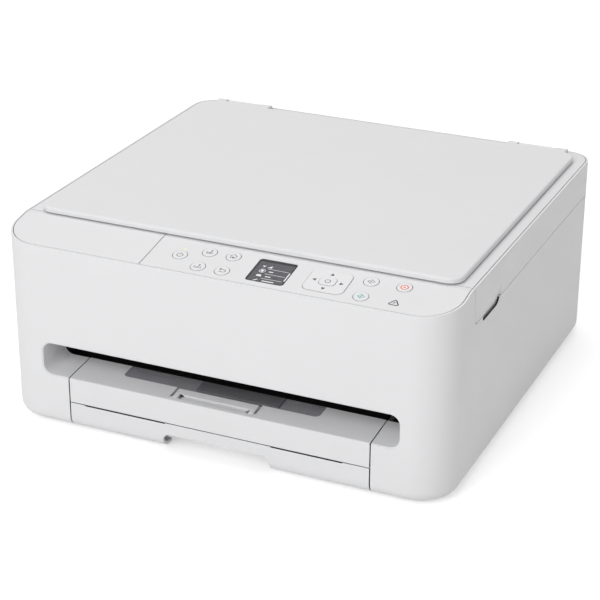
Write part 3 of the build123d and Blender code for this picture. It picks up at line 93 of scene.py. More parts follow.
class Graph:
    """A material's node tree, with short calls that add nodes and join them."""

    def __init__(self, name: str) -> None:
        """Starts an empty material.

        Args:
            name: The material's name.
        """
        self.material = bpy.data.materials.new(name)
        self.material.use_nodes = True
        self.tree = self.material.node_tree
        self.tree.nodes.clear()
        self.coords = self.add("ShaderNodeTexCoord").outputs["Object"]

    def add(self, kind: str, **values: object) -> bpy.types.Node:
        """Adds a node.

        Args:
            kind: The node's type name.
            values: Properties of the node, or inputs by name with spaces as underscores.

        Returns:
            The new node.
        """
        node = self.tree.nodes.new(kind)
        for key, value in values.items():
            if hasattr(node, key):
                setattr(node, key, value)
            else:
                node.inputs[key.replace("_", " ")].default_value = value
        return node

    def join(self, source: Socket, target: Socket) -> None:
        """Joins an output to an input."""
        self.tree.links.new(source, target)

    def noise(self, size: float, detail: float = 2.0, stretch: Colour = (1, 1, 1)) -> Socket:
        """Adds a noise pattern fixed to the piece.

        Args:
            size: The size of its features in metres.
            detail: How many finer layers it has.
            stretch: How much each direction is drawn out.

        Returns:
            The output that carries the pattern, about 0 to 1.
        """
        place = self.add("ShaderNodeMapping")
        place.inputs["Scale"].default_value = [1 / s for s in stretch]
        self.join(self.coords, place.inputs["Vector"])
        noise = self.add("ShaderNodeTexNoise", Scale=1 / size, Detail=detail)
        self.join(place.outputs["Vector"], noise.inputs["Vector"])
        return noise.outputs["Fac"]

    def cells(self, size: float) -> Socket:
        """Adds a pattern of rounded cells.

        Args:
            size: The size of a cell in metres.

        Returns:
            The output that carries it.
        """
        cells = self.add("ShaderNodeTexVoronoi", Scale=1 / size)
        self.join(self.coords, cells.inputs["Vector"])
        return cells.outputs["Distance"]

    def spread(self, source: Socket, low: float, high: float,
               start: float = 0.3, end: float = 0.7) -> Socket:
        """Maps a pattern to a range.

        Args:
            source: The pattern.
            low: What start becomes.
            high: What end becomes.
            start: The pattern's value that gives low.
            end: The pattern's value that gives high.

        Returns:
            The mapped output.
        """
        node = self.add("ShaderNodeMapRange")
        for name, value in zip(("From Min", "From Max", "To Min", "To Max"), (start, end, low, high)):
            node.inputs[name].default_value = value
        self.join(source, node.inputs["Value"])
        return node.outputs["Result"]

    def mix(self, factor: Socket, first: object, second: object) -> Socket:
        """Mixes two colours.

        Args:
            factor: The output that goes from the first colour to the second.
            first: A colour or an output.
            second: A colour or an output.

        Returns:
            The mixed colour's output.
        """
        node = self.add("ShaderNodeMix", data_type="RGBA")
        self.join(factor, node.inputs["Factor"])
        for socket, value in ((node.inputs["A"], first), (node.inputs["B"], second)):
            colours = [s for s in node.inputs if s.name == socket.name and s.type == "RGBA"]
            if isinstance(value, tuple):
                colours[0].default_value = (*value, 1.0)
            else:
                self.join(value, colours[0])
        return [s for s in node.outputs if s.type == "RGBA"][0]

    def bump(self, height: Socket, depth: float,
             under: Socket | None = None) -> Socket:
        """Adds a bump.

        Args:
            height: The pattern that raises the surface.
            depth: How far, in metres.
            under: A normal that the bump is laid over.

        Returns:
            The output that carries the normal.
        """
        node = self.add("ShaderNodeBump", Strength=1.0, Distance=depth)
        self.join(height, node.inputs["Height"])
        if under is not None:
            self.join(under, node.inputs["Normal"])
        return node.outputs["Normal"]

    def soft_edge(self, radius: float) -> Socket:
        """Adds a normal that rolls over sharp edges, and returns its output."""
        return self.add("ShaderNodeBevel", samples=4, Radius=radius).outputs["Normal"]

    def edge(self, radius: float) -> Socket:
        """Adds a pattern that is 1 along sharp edges.

        Args:
            radius: How far it reaches from an edge, in metres.

        Returns:
            The output that carries it.
        """
        away = self.add("ShaderNodeVectorMath", operation="DOT_PRODUCT")
        self.join(self.soft_edge(radius), away.inputs[0])
        self.join(self.add("ShaderNodeNewGeometry").outputs["Normal"], away.inputs[1])
        return self.spread(away.outputs["Value"], 1.0, 0.0, 0.75, 0.98)

    def shader(self, **values: object) -> bpy.types.Node:
        """Adds the surface shader, joined to the material's output.

        Args:
            values: Its inputs by name with spaces as underscores.

        Returns:
            The shader.
        """
        shader = self.add("ShaderNodeBsdfPrincipled", **values)
        self.join(shader.outputs["BSDF"], self.add("ShaderNodeOutputMaterial").inputs["Surface"])
        return shader

    def surface(self, shader: bpy.types.Node, tone: Socket, rough: Socket,
                normal: Socket | None = None) -> Material:
        """Joins patterns to a surface shader.

        Args:
            shader: The shader.
            tone: The colour.
            rough: The roughness.
            normal: The normal, if the surface has a texture.

        Returns:
            The material.
        """
        self.join(tone, shader.inputs["Base Color"])
        self.join(rough, shader.inputs["Roughness"])
        if normal is not None:
            self.join(normal, shader.inputs["Normal"])
        return self.material


@dataclass(frozen=True)
class Finish:
    """A procedural finish.

    Attributes:
        kind: What sort of surface it is.
        roughness: How rough it is in the middle of its range.
        grain: The size of its fine texture in metres.
        depth: How deep that texture is in metres.
        mottle: How far its colour goes lighter and darker over the surface.
        wear: How much lighter its edges are painted: a painted highlight on plastic, a bloom on rubber.
        shine: How strong its plain reflection is.
    """

    kind: Kind
    roughness: float = 0.5
    grain: float = 0.00035
    depth: float = 0.00001
    mottle: float = 0.02
    wear: float = 0.02
    shine: float = 0.4

    def build(self, name: str, colour: Colour) -> Material:
        """Builds the material.

        Args:
            name: The material's name.
            colour: Its colour, as the record gives it.

        Returns:
            The material.
        """
        return getattr(self, "_" + self.kind.value)(Graph(name), colour)

    def _toned(self, graph: Graph, colour: Colour, size: float) -> Socket:
        """Adds the colour's slow change over the surface.

        Args:
            graph: The material's nodes.
            colour: The colour in the middle.
            size: How wide the patches are in metres.

        Returns:
            The colour's output.
        """
        darker = tuple(c * (1 - self.mottle) for c in colour)
        lighter = tuple(min(1.0, c * (1 + self.mottle)) for c in colour)
        return graph.mix(graph.noise(size, 3.0), darker, lighter)

    def _moulded(self, graph: Graph, colour: Colour) -> Material:
        """Builds moulded plastic with a spark-eroded grain and a painted highlight along its edges.

        Args:
            graph: The material's nodes.
            colour: Its colour.

        Returns:
            The material.
        """
        # Painted highlight: the edges are painted lighter, as where light catches them.
        highlighted = tuple(min(1.0, c + self.wear) for c in colour)
        tone = graph.mix(graph.edge(0.0004), self._toned(graph, colour, 0.07), highlighted)
        return self._grained(graph, tone)

    def _two_tone(self, graph: Graph, colour: Colour) -> Material:
        """Builds the insert's plastic: its sides and edges painted lighter to lift them out of the slot's
        shade, a darker band in its middle, and black behind the slot's edge.

        Args:
            graph: The material's nodes.
            colour: Its colour.

        Returns:
            The material.
        """
        place = graph.add("ShaderNodeSeparateXYZ")
        graph.join(graph.coords, place.inputs["Vector"])
        behind = graph.spread(place.outputs["Y"], 0.0, 1.0, DECK_FRONT - 0.0002, DECK_FRONT + 0.0002)
        left = graph.spread(place.outputs["X"], 0.0, 1.0, BAND[0] - 0.0001, BAND[0])
        right = graph.spread(place.outputs["X"], 1.0, 0.0, BAND[1], BAND[1] + 0.0001)
        band = graph.add("ShaderNodeMath", operation="MINIMUM")
        graph.join(left, band.inputs[0])
        graph.join(right, band.inputs[1])
        # Painted light: the sides and edges are lighter copies of the plastic's colour, set against the
        # slot's shade.
        lit_flank_tone, band_tone, highlight_tone = (tuple(c * share for c in colour) for share in (1.8, 0.95, 1.7))
        side = self._toned(graph, lit_flank_tone, 0.02)
        front = graph.mix(band.outputs["Value"], side, self._toned(graph, band_tone, 0.02))
        highlighted = graph.mix(graph.edge(0.0004), front, tuple(c + self.wear for c in highlight_tone))
        return self._grained(graph, graph.mix(behind, highlighted, (0.006, 0.006, 0.006)))

    def _grained(self, graph: Graph, tone: Socket) -> Material:
        """Lays the mould's grain over a colour.

        Args:
            graph: The material's nodes.
            tone: The colour's output.

        Returns:
            The material.
        """
        shader = graph.shader(Specular_IOR_Level=self.shine)
        patches = graph.spread(graph.noise(0.018), self.roughness - 0.05, self.roughness + 0.05)
        rolled = graph.soft_edge(0.00025)
        return graph.surface(shader, tone, patches, graph.bump(graph.noise(self.grain), self.depth, rolled))

    def _metal(self, graph: Graph, colour: Colour) -> Material:
        """Builds rolled steel, with fine lines along it and a faint bloom.

        Args:
            graph: The material's nodes.
            colour: Its colour.

        Returns:
            The material.
        """
        shader = graph.shader(Metallic=1.0, Anisotropic=0.35)
        lines = graph.noise(self.grain, 3.0, (60, 1, 1))
        rough = graph.spread(lines, self.roughness - 0.08, self.roughness + 0.1)
        normal = graph.bump(lines, self.depth, graph.soft_edge(0.0002))
        return graph.surface(shader, self._toned(graph, colour, 0.012), rough, normal)

    def _rubber(self, graph: Graph, colour: Colour) -> Material:
        """Builds ground rubber with a bloom on its edges.

        Args:
            graph: The material's nodes.
            colour: Its colour.

        Returns:
            The material.
        """
        shader = graph.shader(Specular_IOR_Level=0.25)
        dusty = tuple(c + self.wear for c in colour)
        tone = graph.mix(graph.edge(0.0006), self._toned(graph, colour, 0.006), dusty)
        normal = graph.bump(graph.noise(self.grain, 4.0), self.depth)
        return graph.surface(shader, tone, graph.spread(graph.noise(0.003), 0.7, 0.92), normal)

    def _glass(self, graph: Graph, colour: Colour) -> Material:
        """Builds float glass with a few wipe marks.

        Args:
            graph: The material's nodes.
            colour: Its colour.

        Returns:
            The material.
        """
        shader = graph.shader(Transmission_Weight=1.0, IOR=1.5)
        wipes = graph.noise(0.02, 4.0, (5, 1, 1))
        rough = graph.spread(wipes, 0.01, 0.09, 0.45, 0.75)
        return graph.surface(shader, self._toned(graph, colour, 0.05), rough)

    def _gloss(self, graph: Graph, colour: Colour) -> Material:
        """Builds a glossy screen with a faint raster and finger marks.

        Args:
            graph: The material's nodes.
            colour: Its colour.

        Returns:
            The material.
        """
        shader = graph.shader(Coat_Weight=0.12, Coat_Roughness=0.05, Specular_IOR_Level=0.2)
        raster = graph.add("ShaderNodeTexChecker", Scale=1 / 0.0003)
        graph.join(graph.coords, raster.inputs["Vector"])
        darker = tuple(c * (1 - self.mottle) for c in colour)
        tone = graph.mix(raster.outputs["Fac"], darker, self._toned(graph, colour, 0.01))
        return graph.surface(shader, tone, graph.spread(graph.noise(0.004, 4.0), 0.2, 0.38))

    def _board(self, graph: Graph, colour: Colour) -> Material:
        """Builds a lacquered circuit board with tracks under the lacquer.

        Args:
            graph: The material's nodes.
            colour: Its colour.

        Returns:
            The material.
        """
        shader = graph.shader(Coat_Weight=0.4, Coat_Roughness=0.2)
        tracks = graph.add("ShaderNodeTexBrick", Scale=1 / 0.004, Mortar_Size=0.04, offset_frequency=3)
        graph.join(graph.coords, tracks.inputs["Vector"])
        lighter = tuple(min(1.0, c * 1.7 + 0.02) for c in colour)
        tone = graph.mix(tracks.outputs["Fac"], self._toned(graph, colour, 0.01), lighter)
        normal = graph.bump(tracks.outputs["Fac"], self.depth)
        return graph.surface(shader, tone, graph.spread(graph.noise(0.002), 0.35, 0.5), normal)

    def _foam(self, graph: Graph, colour: Colour) -> Material:
        """Builds closed-cell foam under a thin white film.

        Args:
            graph: The material's nodes.
            colour: Its colour.

        Returns:
            The material.
        """
        shader = graph.shader(Sheen_Weight=0.2, Specular_IOR_Level=0.2)
        cells = graph.cells(self.grain)
        shade = tuple(c * (1 - self.mottle) for c in colour)
        tone = graph.mix(graph.spread(cells, 0.0, 1.0, 0.1, 0.6), self._toned(graph, colour, 0.04), shade)
        normal = graph.bump(cells, self.depth)
        return graph.surface(shader, tone, graph.spread(graph.noise(0.01), 0.8, 0.95), normal)

    def _lamp(self, graph: Graph, colour: Colour) -> Material:
        """Builds a frosted lens that glows a little, more in its middle patches.

        Args:
            graph: The material's nodes.
            colour: Its colour.

        Returns:
            The material.
        """
        shader = graph.shader(Coat_Weight=0.3, Emission_Color=(*colour, 1.0))
        graph.join(graph.spread(graph.noise(0.0006), 0.25, 0.5), shader.inputs["Emission Strength"])
        rough = graph.spread(graph.noise(0.0004), 0.2, 0.4)
        return graph.surface(shader, self._toned(graph, colour, 0.0008), rough)

    def _ink(self, graph: Graph, colour: Colour) -> Material:
        """Builds pad-printed ink with an uneven edge of tone.

        Args:
            graph: The material's nodes.
            colour: Its colour.

        Returns:
            The material.
        """
        shader = graph.shader(Specular_IOR_Level=0.35)
        rough = graph.spread(graph.noise(0.0005), 0.4, 0.6)
        normal = graph.bump(graph.noise(self.grain), self.depth)
        return graph.surface(shader, self._toned(graph, colour, 0.0006), rough, normal)


@dataclass(frozen=True)
class Wardrobe:
    """The finish of each material slot in the record."""

    grained: Finish = Finish(Kind.MOULDED, 0.5, 0.0004, 0.000012, 0.012, 0.03)
    satin: Finish = Finish(Kind.MOULDED, 0.42, 0.0003, 0.000006, 0.01, 0.03)
    dark: Finish = Finish(Kind.MOULDED, 0.55, 0.0005, 0.00002, 0.15, 0.05, 0.3)
    shaded: Finish = Finish(Kind.MOULDED, 0.62, 0.0005, 0.00002, 0.15, 0.02, 0.12)
    insert: Finish = Finish(Kind.TWO_TONE, 0.58, 0.0005, 0.00002, 0.1, 0.05, 0.2)
    nylon: Finish = Finish(Kind.MOULDED, 0.4, 0.0006, 0.000006, 0.03, 0.04)
    rolled: Finish = Finish(Kind.METAL, 0.36, 0.0004, 0.000006, 0.06)
    turned: Finish = Finish(Kind.METAL, 0.3, 0.0002, 0.000004, 0.08)
    rubber: Finish = Finish(Kind.RUBBER, 0.8, 0.0003, 0.00003, 0.12, 0.03)
    glass: Finish = Finish(Kind.GLASS, 0.02, mottle=0.01)
    screen: Finish = Finish(Kind.GLOSS, 0.3, mottle=0.12)
    board: Finish = Finish(Kind.BOARD, 0.4, depth=0.00003, mottle=0.15)
    foam: Finish = Finish(Kind.FOAM, 0.9, 0.0009, 0.00006, 0.05)
    lens: Finish = Finish(Kind.LAMP, 0.3, mottle=0.15)

    def slots(self) -> dict[str, Finish]:
        """Returns the finish of each slot by its name."""
        return {
            "case_white": self.grained, "top_white": self.grained, "lid_white": self.grained,
            "drawer_white": self.grained, "key_white": self.satin, "black_plastic": self.dark,
            "dark_grey_plastic": self.dark, "mechanism_grey": self.dark,
            "gear_plastic": self.nylon, "ink_plastic": self.dark, "lamp_clear": self.lens,
            "display_gloss": self.screen, "circuit_green": self.board,
            "sheet_steel": self.rolled, "screw_steel": self.turned, "rubber_black": self.rubber,
            "roller_rubber": self.rubber, "clear_glass": self.glass, "foam_white": self.foam,
        }

    def own(self) -> dict[str, Finish]:
        """Returns the finish of each node that has one of its own."""
        return {"tray_insert": self.insert, "slot_liner": self.shaded, "base_chassis": self.shaded}

    def dress(self) -> dict[str, Material]:
        """Gives every CAD node its slot's finish.

        Returns:
            The material of each slot by its name.
        """
        finishes = self.slots()
        made = {}
        for row in frame["record"]["materials"]:
            slot = row["slot"]
            made[slot] = finishes[slot].build(slot, tuple(row["base_color"]))
        for node, finish in self.own().items():
            row = next(r for r in frame["record"]["subparts"] if r["node"] == node)
            slot = next(m for m in frame["record"]["materials"] if m["slot"] == row["material_slot"])
            made[node] = finish.build(node, tuple(slot["base_color"]))
        for row in frame["record"]["subparts"]:
            for place in frame["nodes"][row["node"]].material_slots:
                place.material = made.get(row["node"], made[row["material_slot"]])
        return made


@dataclass(frozen=True)
class Facet:
    """A flat face that marks lie on.

    Attributes:
        middle: The middle of the face.
        out: The direction that it faces.
        across: The direction of a mark's x axis.
    """

    middle: Vector
    out: Vector
    across: Vector = RIGHT

    @classmethod
    def at(cls, x: float, y: float, z: float, out: Vector = UP, across: Vector = RIGHT) -> "Facet":
        """Returns a face with its middle at a place in millimetres."""
        return cls(Vector((x, y, z)) * MM, out, across)

    @classmethod
    def sideways(cls, x: float, behind: float, high: float, side: int) -> "Facet":
        """Returns a face that looks right (1) or left (-1), placed from the body's lower front edge."""
        return cls.at(x, FRONT_Y + behind, FOOT + high, RIGHT * side, REARWARD * side)

    @classmethod
    def top_of(cls, node: str, out: Vector = STRIP_OUT, reach: float = 0.00002) -> "Facet":
        """Finds the outermost flat face of a CAD node.

        Args:
            node: The node's name.
            out: The direction that the face looks in.
            reach: How near to the outermost point a vertex counts as on the face, in metres.

        Returns:
            The face.
        """
        points = [v.co for v in frame["nodes"][node].data.vertices]
        top = max(p.dot(out) for p in points)
        face = [p for p in points if p.dot(out) > top - reach]
        low = Vector(min(p[i] for p in face) for i in range(3))
        high = Vector(max(p[i] for p in face) for i in range(3))
        return cls((low + high) / 2, out)

    def moved(self, x: float, y: float, up: float = 0.0) -> "Facet":
        """Returns the same face with its middle moved.

        Args:
            x: How far along its x axis, in millimetres.
            y: How far along its y axis.
            up: How far out of it.

        Returns:
            The moved face.
        """
        along = self.out.cross(self.across)
        shift = self.across * x * MM + along * y * MM + self.out * up * MM
        return Facet(self.middle + shift, self.out, self.across)

    def matrix(self) -> Matrix:
        """Finds how a mark goes from its own millimetres to its place.

        Returns:
            The matrix, in metres.
        """
        along = self.out.cross(self.across)
        turned = Matrix((self.across, along, self.out)).transposed().to_4x4()
        return Matrix.Translation(self.middle) @ turned @ Matrix.Scale(MM, 4)


def clear_selection() -> None:
    """Deselects every object and leaves edit mode."""
    if bpy.context.object and bpy.context.object.mode != "OBJECT":
        bpy.ops.object.mode_set(mode="OBJECT")
    bpy.ops.object.select_all(action="DESELECT")


def arc(x: float, y: float, radius: float, start: float, end: float, steps: int = 20) -> list[Point]:
    """Returns points along an arc.

    Args:
        x: The centre's place across, in millimetres.
        y: The centre's place along, in millimetres.
        radius: The radius in millimetres.
        start: The first angle in degrees.
        end: The last angle in degrees.
        steps: How many runs the arc has.

    Returns:
        The points from start to end.
    """
    turn = [math.radians(start + (end - start) * i / steps) for i in range(steps + 1)]
    return [(x + radius * math.cos(a), y + radius * math.sin(a)) for a in turn]


def rounded(width: float, depth: float, radius: float) -> list[Point]:
    """Returns the points of a rounded rectangle about the origin.

    Args:
        width: Its width in millimetres.
        depth: Its depth in millimetres.
        radius: Its corner radius in millimetres.

    Returns:
        The points in order.
    """
    x, y = width / 2 - radius, depth / 2 - radius
    corners = ((x, y, 0), (-x, y, 90), (-x, -y, 180), (x, -y, 270))
    return [p for cx, cy, turn in corners for p in arc(cx, cy, radius, turn, turn + 90, 6)]


def open_mesh() -> None:
    """Enters edit mode on the active object, with all of its faces selected."""
    bpy.ops.object.mode_set(mode="EDIT")
    bpy.ops.mesh.select_mode(type="FACE")
    bpy.ops.mesh.select_all(action="SELECT")


def extrude(x: float, y: float, z: float) -> None:
    """Extrudes the selected faces by a move."""
    bpy.ops.mesh.extrude_region_move(TRANSFORM_OT_translate={"value": (x, y, z)})


def close_mesh() -> None:
    """Turns every normal outward and leaves edit mode."""
    bpy.ops.mesh.select_all(action="SELECT")
    bpy.ops.mesh.normals_make_consistent(inside=False)
    bpy.ops.object.mode_set(mode="OBJECT")


def fasten(made: Thing, name: str, material: Material, body: str) -> None:
    """Names a piece, dresses it and fastens it to a body.

    Args:
        made: The piece.
        name: Its name.
        material: Its material.
        body: The body that it rides on.
    """
    made.name = name
    made.data.name = name
    made.data.materials.clear()
    made.data.materials.append(material)
    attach(made, body)
    LOG.info("%s on %s", name, body)


def oblong(x0: float, y0: float, x1: float, y1: float) -> list[Point]:
    """Returns the corners of an upright rectangle."""
    return [(x0, y0), (x1, y0), (x1, y1), (x0, y1)]


@dataclass(frozen=True)
class Mark:
    """Something printed on a face, or painted shade laid in a gap: drawn lines and filled shapes, all of one
    ink.

    Attributes:
        name: The piece's name.
        face: The face that it is on.
        ink: The material.
        body: The body that it rides on.
        slot: The record's slot that it belongs to; not used.
        lines: Each line's points in millimetres, and whether it is closed.
        fills: Each filled shape's outline in millimetres.
        width: The lines' width in millimetres.
        proud: How far the ink stands up in millimetres.
    """

    name: str
    face: Facet
    ink: Material
    body: str
    slot: str
    lines: tuple[Line, ...] = ()
    fills: tuple[list[Point], ...] = ()
    width: float = 0.45
    proud: float = 0.03

    def _lines(self) -> Thing:
        """Makes the lines as flattened tubes.

        Returns:
            The new object, still in millimetres.
        """
        curve = bpy.data.curves.new(self.name, "CURVE")
        curve.dimensions = "3D"
        curve.bevel_depth = self.width / 2
        curve.bevel_resolution = 2
        curve.use_fill_caps = True
        for points, closed in self.lines:
            spline = curve.splines.new("POLY")
            spline.points.add(len(points) - 1)
            for place, (x, y) in zip(spline.points, points):
                place.co = (x, y, 0.0, 1.0)
            spline.use_cyclic_u = closed
        made = bpy.data.objects.new(self.name, curve)
        bpy.context.scene.collection.objects.link(made)
        self._pick(made)
        bpy.ops.object.convert(target="MESH")
        made = bpy.context.object
        bpy.ops.transform.resize(value=(1.0, 1.0, 2 * self.proud / self.width))
        bpy.ops.object.transform_apply(location=False, rotation=False, scale=True)
        return made

    def _fill(self, outline: list[Point]) -> Thing:
        """Makes one filled shape with eased edges.

        Args:
            outline: Its points in millimetres, in order.

        Returns:
            The new object, still in millimetres.
        """
        clear_selection()
        bpy.ops.mesh.primitive_circle_add(vertices=len(outline), radius=1.0, fill_type="NGON")
        made = bpy.context.object
        for vertex, (x, y) in zip(made.data.vertices, outline):
            vertex.co = (x, y, -self.proud)
        open_mesh()
        extrude(0.0, 0.0, 2 * self.proud)
        bpy.ops.mesh.inset(thickness=0.04, depth=0.0)
        bpy.ops.transform.translate(value=(0.0, 0.0, self.proud * 0.4))
        close_mesh()
        return made

    @staticmethod
    def _pick(made: Thing) -> None:
        """Selects one object and makes it active.

        Args:
            made: The object.
        """
        clear_selection()
        made.select_set(True)
        bpy.context.view_layer.objects.active = made

    def build(self) -> None:
        """Makes the mark, puts it in place and fastens it to its body."""
        parts = [self._fill(outline) for outline in self.fills]
        if self.lines:
            parts.append(self._lines())
        self._pick(parts[0])
        for piece in parts[1:]:
            piece.select_set(True)
        if len(parts) > 1:
            bpy.ops.object.join()
        parts[0].data.transform(self.face.matrix())
        fasten(parts[0], self.name, self.ink, self.body)


@dataclass(frozen=True)
class Inks:
    """The inks of the printed and moulded marks, and of the painted shade."""

    print_finish: Finish = Finish(Kind.INK, 0.5, 0.0002, 0.000004, 0.12)
    grey: Colour = (0.065, 0.065, 0.07)
    teal: Colour = (0.06, 0.42, 0.36)
    red: Colour = (0.84, 0.12, 0.05)
    pale: Colour = (0.88, 0.88, 0.89)
    black: Colour = (0.012, 0.012, 0.013)
    moulded: Colour = (0.36, 0.36, 0.37)
    cyan: Colour = (0.02, 0.36, 0.62)
    magenta: Colour = (0.62, 0.03, 0.22)
    yellow: Colour = (0.82, 0.62, 0.04)

    def build(self) -> dict[str, Material]:
        """Returns each ink's material by its name."""
        names = [f.name for f in fields(self) if f.name != "print_finish"]
        return {name: self.print_finish.build("ink_" + name, getattr(self, name)) for name in names}


@dataclass(frozen=True)
class Marks:
    """A group of marks.

    Attributes:
        inks: The inks by name.
    """

    inks: dict[str, Material]

    def put(self, name: str, face: Facet, ink: str, body: str, slot: str,
            *shape: object, **more: object) -> None:
        """Makes one mark from what Mark takes, with the ink by its name."""
        Mark(name, face, self.inks[ink], body, slot, *shape, **more).build()


@dataclass(frozen=True)
class KeyMarks(Marks):
    """The marks printed on the round keys, one piece for each key and ink, and a painted shade line in the
    groove round each key.

    Attributes:
        line: The width of a grey line, in millimetres.
        bold: The width of the teal line.
        groove: The groove's radius.
        groove_wide: The painted shade line's width.
        groove_down: How deep it lies below the key's top.
        stop_r: The radius of the stop key's ring.
    """

    line: float = 0.66
    bold: float = 0.95
    groove: float = 5.77
    groove_wide: float = 0.4
    groove_down: float = 0.45
    stop_r: float = 2.7

    def power(self) -> Sign:
        """Returns the open ring and bar of the power key."""
        return ((arc(0, -0.2, 2.3, 120, 420), False), ([(0, 0.2), (0, 3.0)], False)), ()

    def wireless(self) -> Sign:
        """Returns the two short waves and the upward arrow."""
        waves = tuple((arc(x, y, 1.3, 200, 340), False) for y in (-0.6, 0.8) for x in (-1.2, 1.4))
        return (*waves, ([(1.0, 0.6), (1.0, 2.4)], False)), ([(0.1, 2.2), (1.9, 2.2), (1.0, 3.6)],)

    def home(self) -> Sign:
        """Draws the small house.

        Returns:
            Its lines and fills.
        """
        roof = ([(-3.0, 0.2), (0.0, 2.8), (3.0, 0.2)], False)
        walls = ([(-2.1, 0.2), (-2.1, -2.3), (2.1, -2.3), (2.1, 0.2)], False)
        return (roof, walls), (oblong(-0.7, -2.2, 0.7, -0.4),)

    def tray(self) -> Sign:
        """Draws the tray with an arrow rising from it.

        Returns:
            Its lines and fills.
        """
        tray = ([(-2.7, 0.0), (-2.7, -2.0), (2.7, -2.0), (2.7, 0.0)], False)
        sheet = ([(-1.5, -0.9), (1.5, -0.9)], False)
        stem = ([(0.6, -0.2), (0.6, 1.8)], False)
        return (tray, sheet, stem), ([(-0.4, 1.6), (1.6, 1.6), (0.6, 3.2)],)

    def back(self) -> Sign:
        """Returns the arrow that turns back on itself."""
        hook = ([(-1.4, 1.5), (1.2, 1.5)] + arc(1.2, -0.1, 1.6, 90, -90, 12) + [(-2.2, -1.7)], False)
        return (hook,), ([(-1.3, 3.0), (-1.3, 0.0), (-3.0, 1.5)],)

    def start(self) -> Sign:
        """Returns a diamond crossed by an upright stroke."""
        diamond = ([(-2.7, 0.0), (0.0, 2.5), (2.7, 0.0), (0.0, -2.5)], True)
        return (diamond, ([(-0.5, -1.1), (0.5, 1.1)], False)), ()

    def stop(self) -> None:
        """Makes the stop key's eight-sided ring, the tint inside it and the small triangle."""
        face = Facet.top_of("stop_button")
        disc = arc(0, 0, self.stop_r, 22.5, 337.5, 7)
        wedge = arc(0, 0, 1.3, 90, 330, 2)
        self.put("stop_tint", face, "pale", "stop_button_key", "key_white", fills=(disc,), proud=0.02)
        ring = ((disc, True),)
        self.put("stop_ring", face, "red", "stop_button_key", "key_white", ring, (wedge,), 1.05, 0.05)

    def build(self) -> None:
        """Makes every key's mark and the painted shade line in its groove."""
        rows = (("power_mark", "power_button", "grey", self.power()),
                ("wireless_mark", "function_button_a", "grey", self.wireless()),
                ("home_mark", "function_button_b", "grey", self.home()),
                ("tray_mark", "function_button_c", "grey", self.tray()),
                ("back_mark", "function_button_d", "grey", self.back()),
                ("start_mark_rear", "start_button_rear", "grey", self.start()),
                ("start_mark_front", "start_button_front", "teal", self.start()))
        for name, key, ink, (lines, fills) in rows:
            width = self.bold if ink == "teal" else self.line
            self.put(name, Facet.top_of(key), ink, key + "_key", "key_white", lines, fills, width)
        self.stop()
        # Painted shade: a grey ring deep in the gap round each key.
        groove = (arc(0, 0, self.groove, 0, 350, 35), True)
        for key in (*(row[1] for row in rows), "stop_button"):
            face = Facet.top_of(key).moved(0, 0, -self.groove_down)
            self.put(key + "_groove", face, "grey", key + "_key", "key_white", (groove,),
                     width=self.groove_wide)


@dataclass(frozen=True)
class PadMarks(Marks):
    """The pad's four arrowheads, the middle key's ring, a painted shade line in the groove round each, and
    the lamp mark.

    Attributes:
        reach_x: How far the side arrowheads are from the pad's middle, in millimetres.
        reach_y: How far the other two are.
        size: An arrowhead's radius.
        ring: The ring's radius.
        pad_path: The width, depth and corner radius of the groove round the pad.
        middle_path: The same of the groove round the middle key.
        groove_wide: The width of the painted shade lines in the grooves.
        groove_down: How deep they lie below the tops.
        lamp_x: The lamp mark's place across, as the panel counts it.
        lamp_y: Its place along.
        post_x: The pad's place across, counted the same way.
        post_y: Its place along.
    """

    reach_x: float = 10.4
    reach_y: float = 9.2
    size: float = 1.95
    ring: float = 2.0
    pad_path: tuple[float, float, float] = (31.9, 27.5, 5.47)
    middle_path: tuple[float, float, float] = (12.3, 9.9, 3.17)
    groove_wide: float = 0.3
    groove_down: float = 0.45
    lamp_x: float = 138.1
    lamp_y: float = 12.5
    post_x: float = 82.3
    post_y: float = 22.8

    def build(self) -> None:
        """Makes the pad's marks, the painted shade in its grooves, and the lamp mark."""
        top = Facet.top_of("direction_pad")
        places = ((self.reach_x, 0, 0), (0, self.reach_y, 90),
                  (-self.reach_x, 0, 180), (0, -self.reach_y, 270))
        heads = tuple(arc(x, y, self.size, turn, turn + 240, 2) for x, y, turn in places)
        self.put("pad_arrowheads", top, "grey", "pad_key", "key_white", fills=heads)
        ring = (arc(0, 0, self.ring, 0, 342, 19), True)
        self.put("middle_ring", Facet.top_of("ok_button"), "grey", "ok_key", "key_white", (ring,), width=0.55)
        # Painted shade: grey lines deep in the grooves round the pad and the middle key.
        for name, node, body, outline in (
                ("pad_groove", "direction_pad", "pad_key", rounded(*self.pad_path)),
                ("middle_groove", "ok_button", "ok_key", rounded(*self.middle_path))):
            face = Facet.top_of(node).moved(0, 0, -self.groove_down)
            lines = ((outline, True),)
            self.put(name, face, "grey", body, "key_white", lines, width=self.groove_wide)
        strip = top.moved(self.lamp_x - self.post_x, self.lamp_y - self.post_y)
        drop = (Facet.top_of("operation_panel").middle - strip.middle).dot(STRIP_OUT) / MM
        corners = ((-2.6, -2.0, 210), (2.6, -2.0, 330), (0.0, 2.2, 90))
        outline = [p for x, y, turn in corners for p in arc(x, y, 0.9, turn - 60, turn + 60, 5)]
        lines = ((outline, True), ([(-0.5, -1.0), (0.4, 0.9)], False))
        self.put("lamp_mark", strip.moved(0, 0, drop), "grey", "base", "key_white", lines, width=0.95)


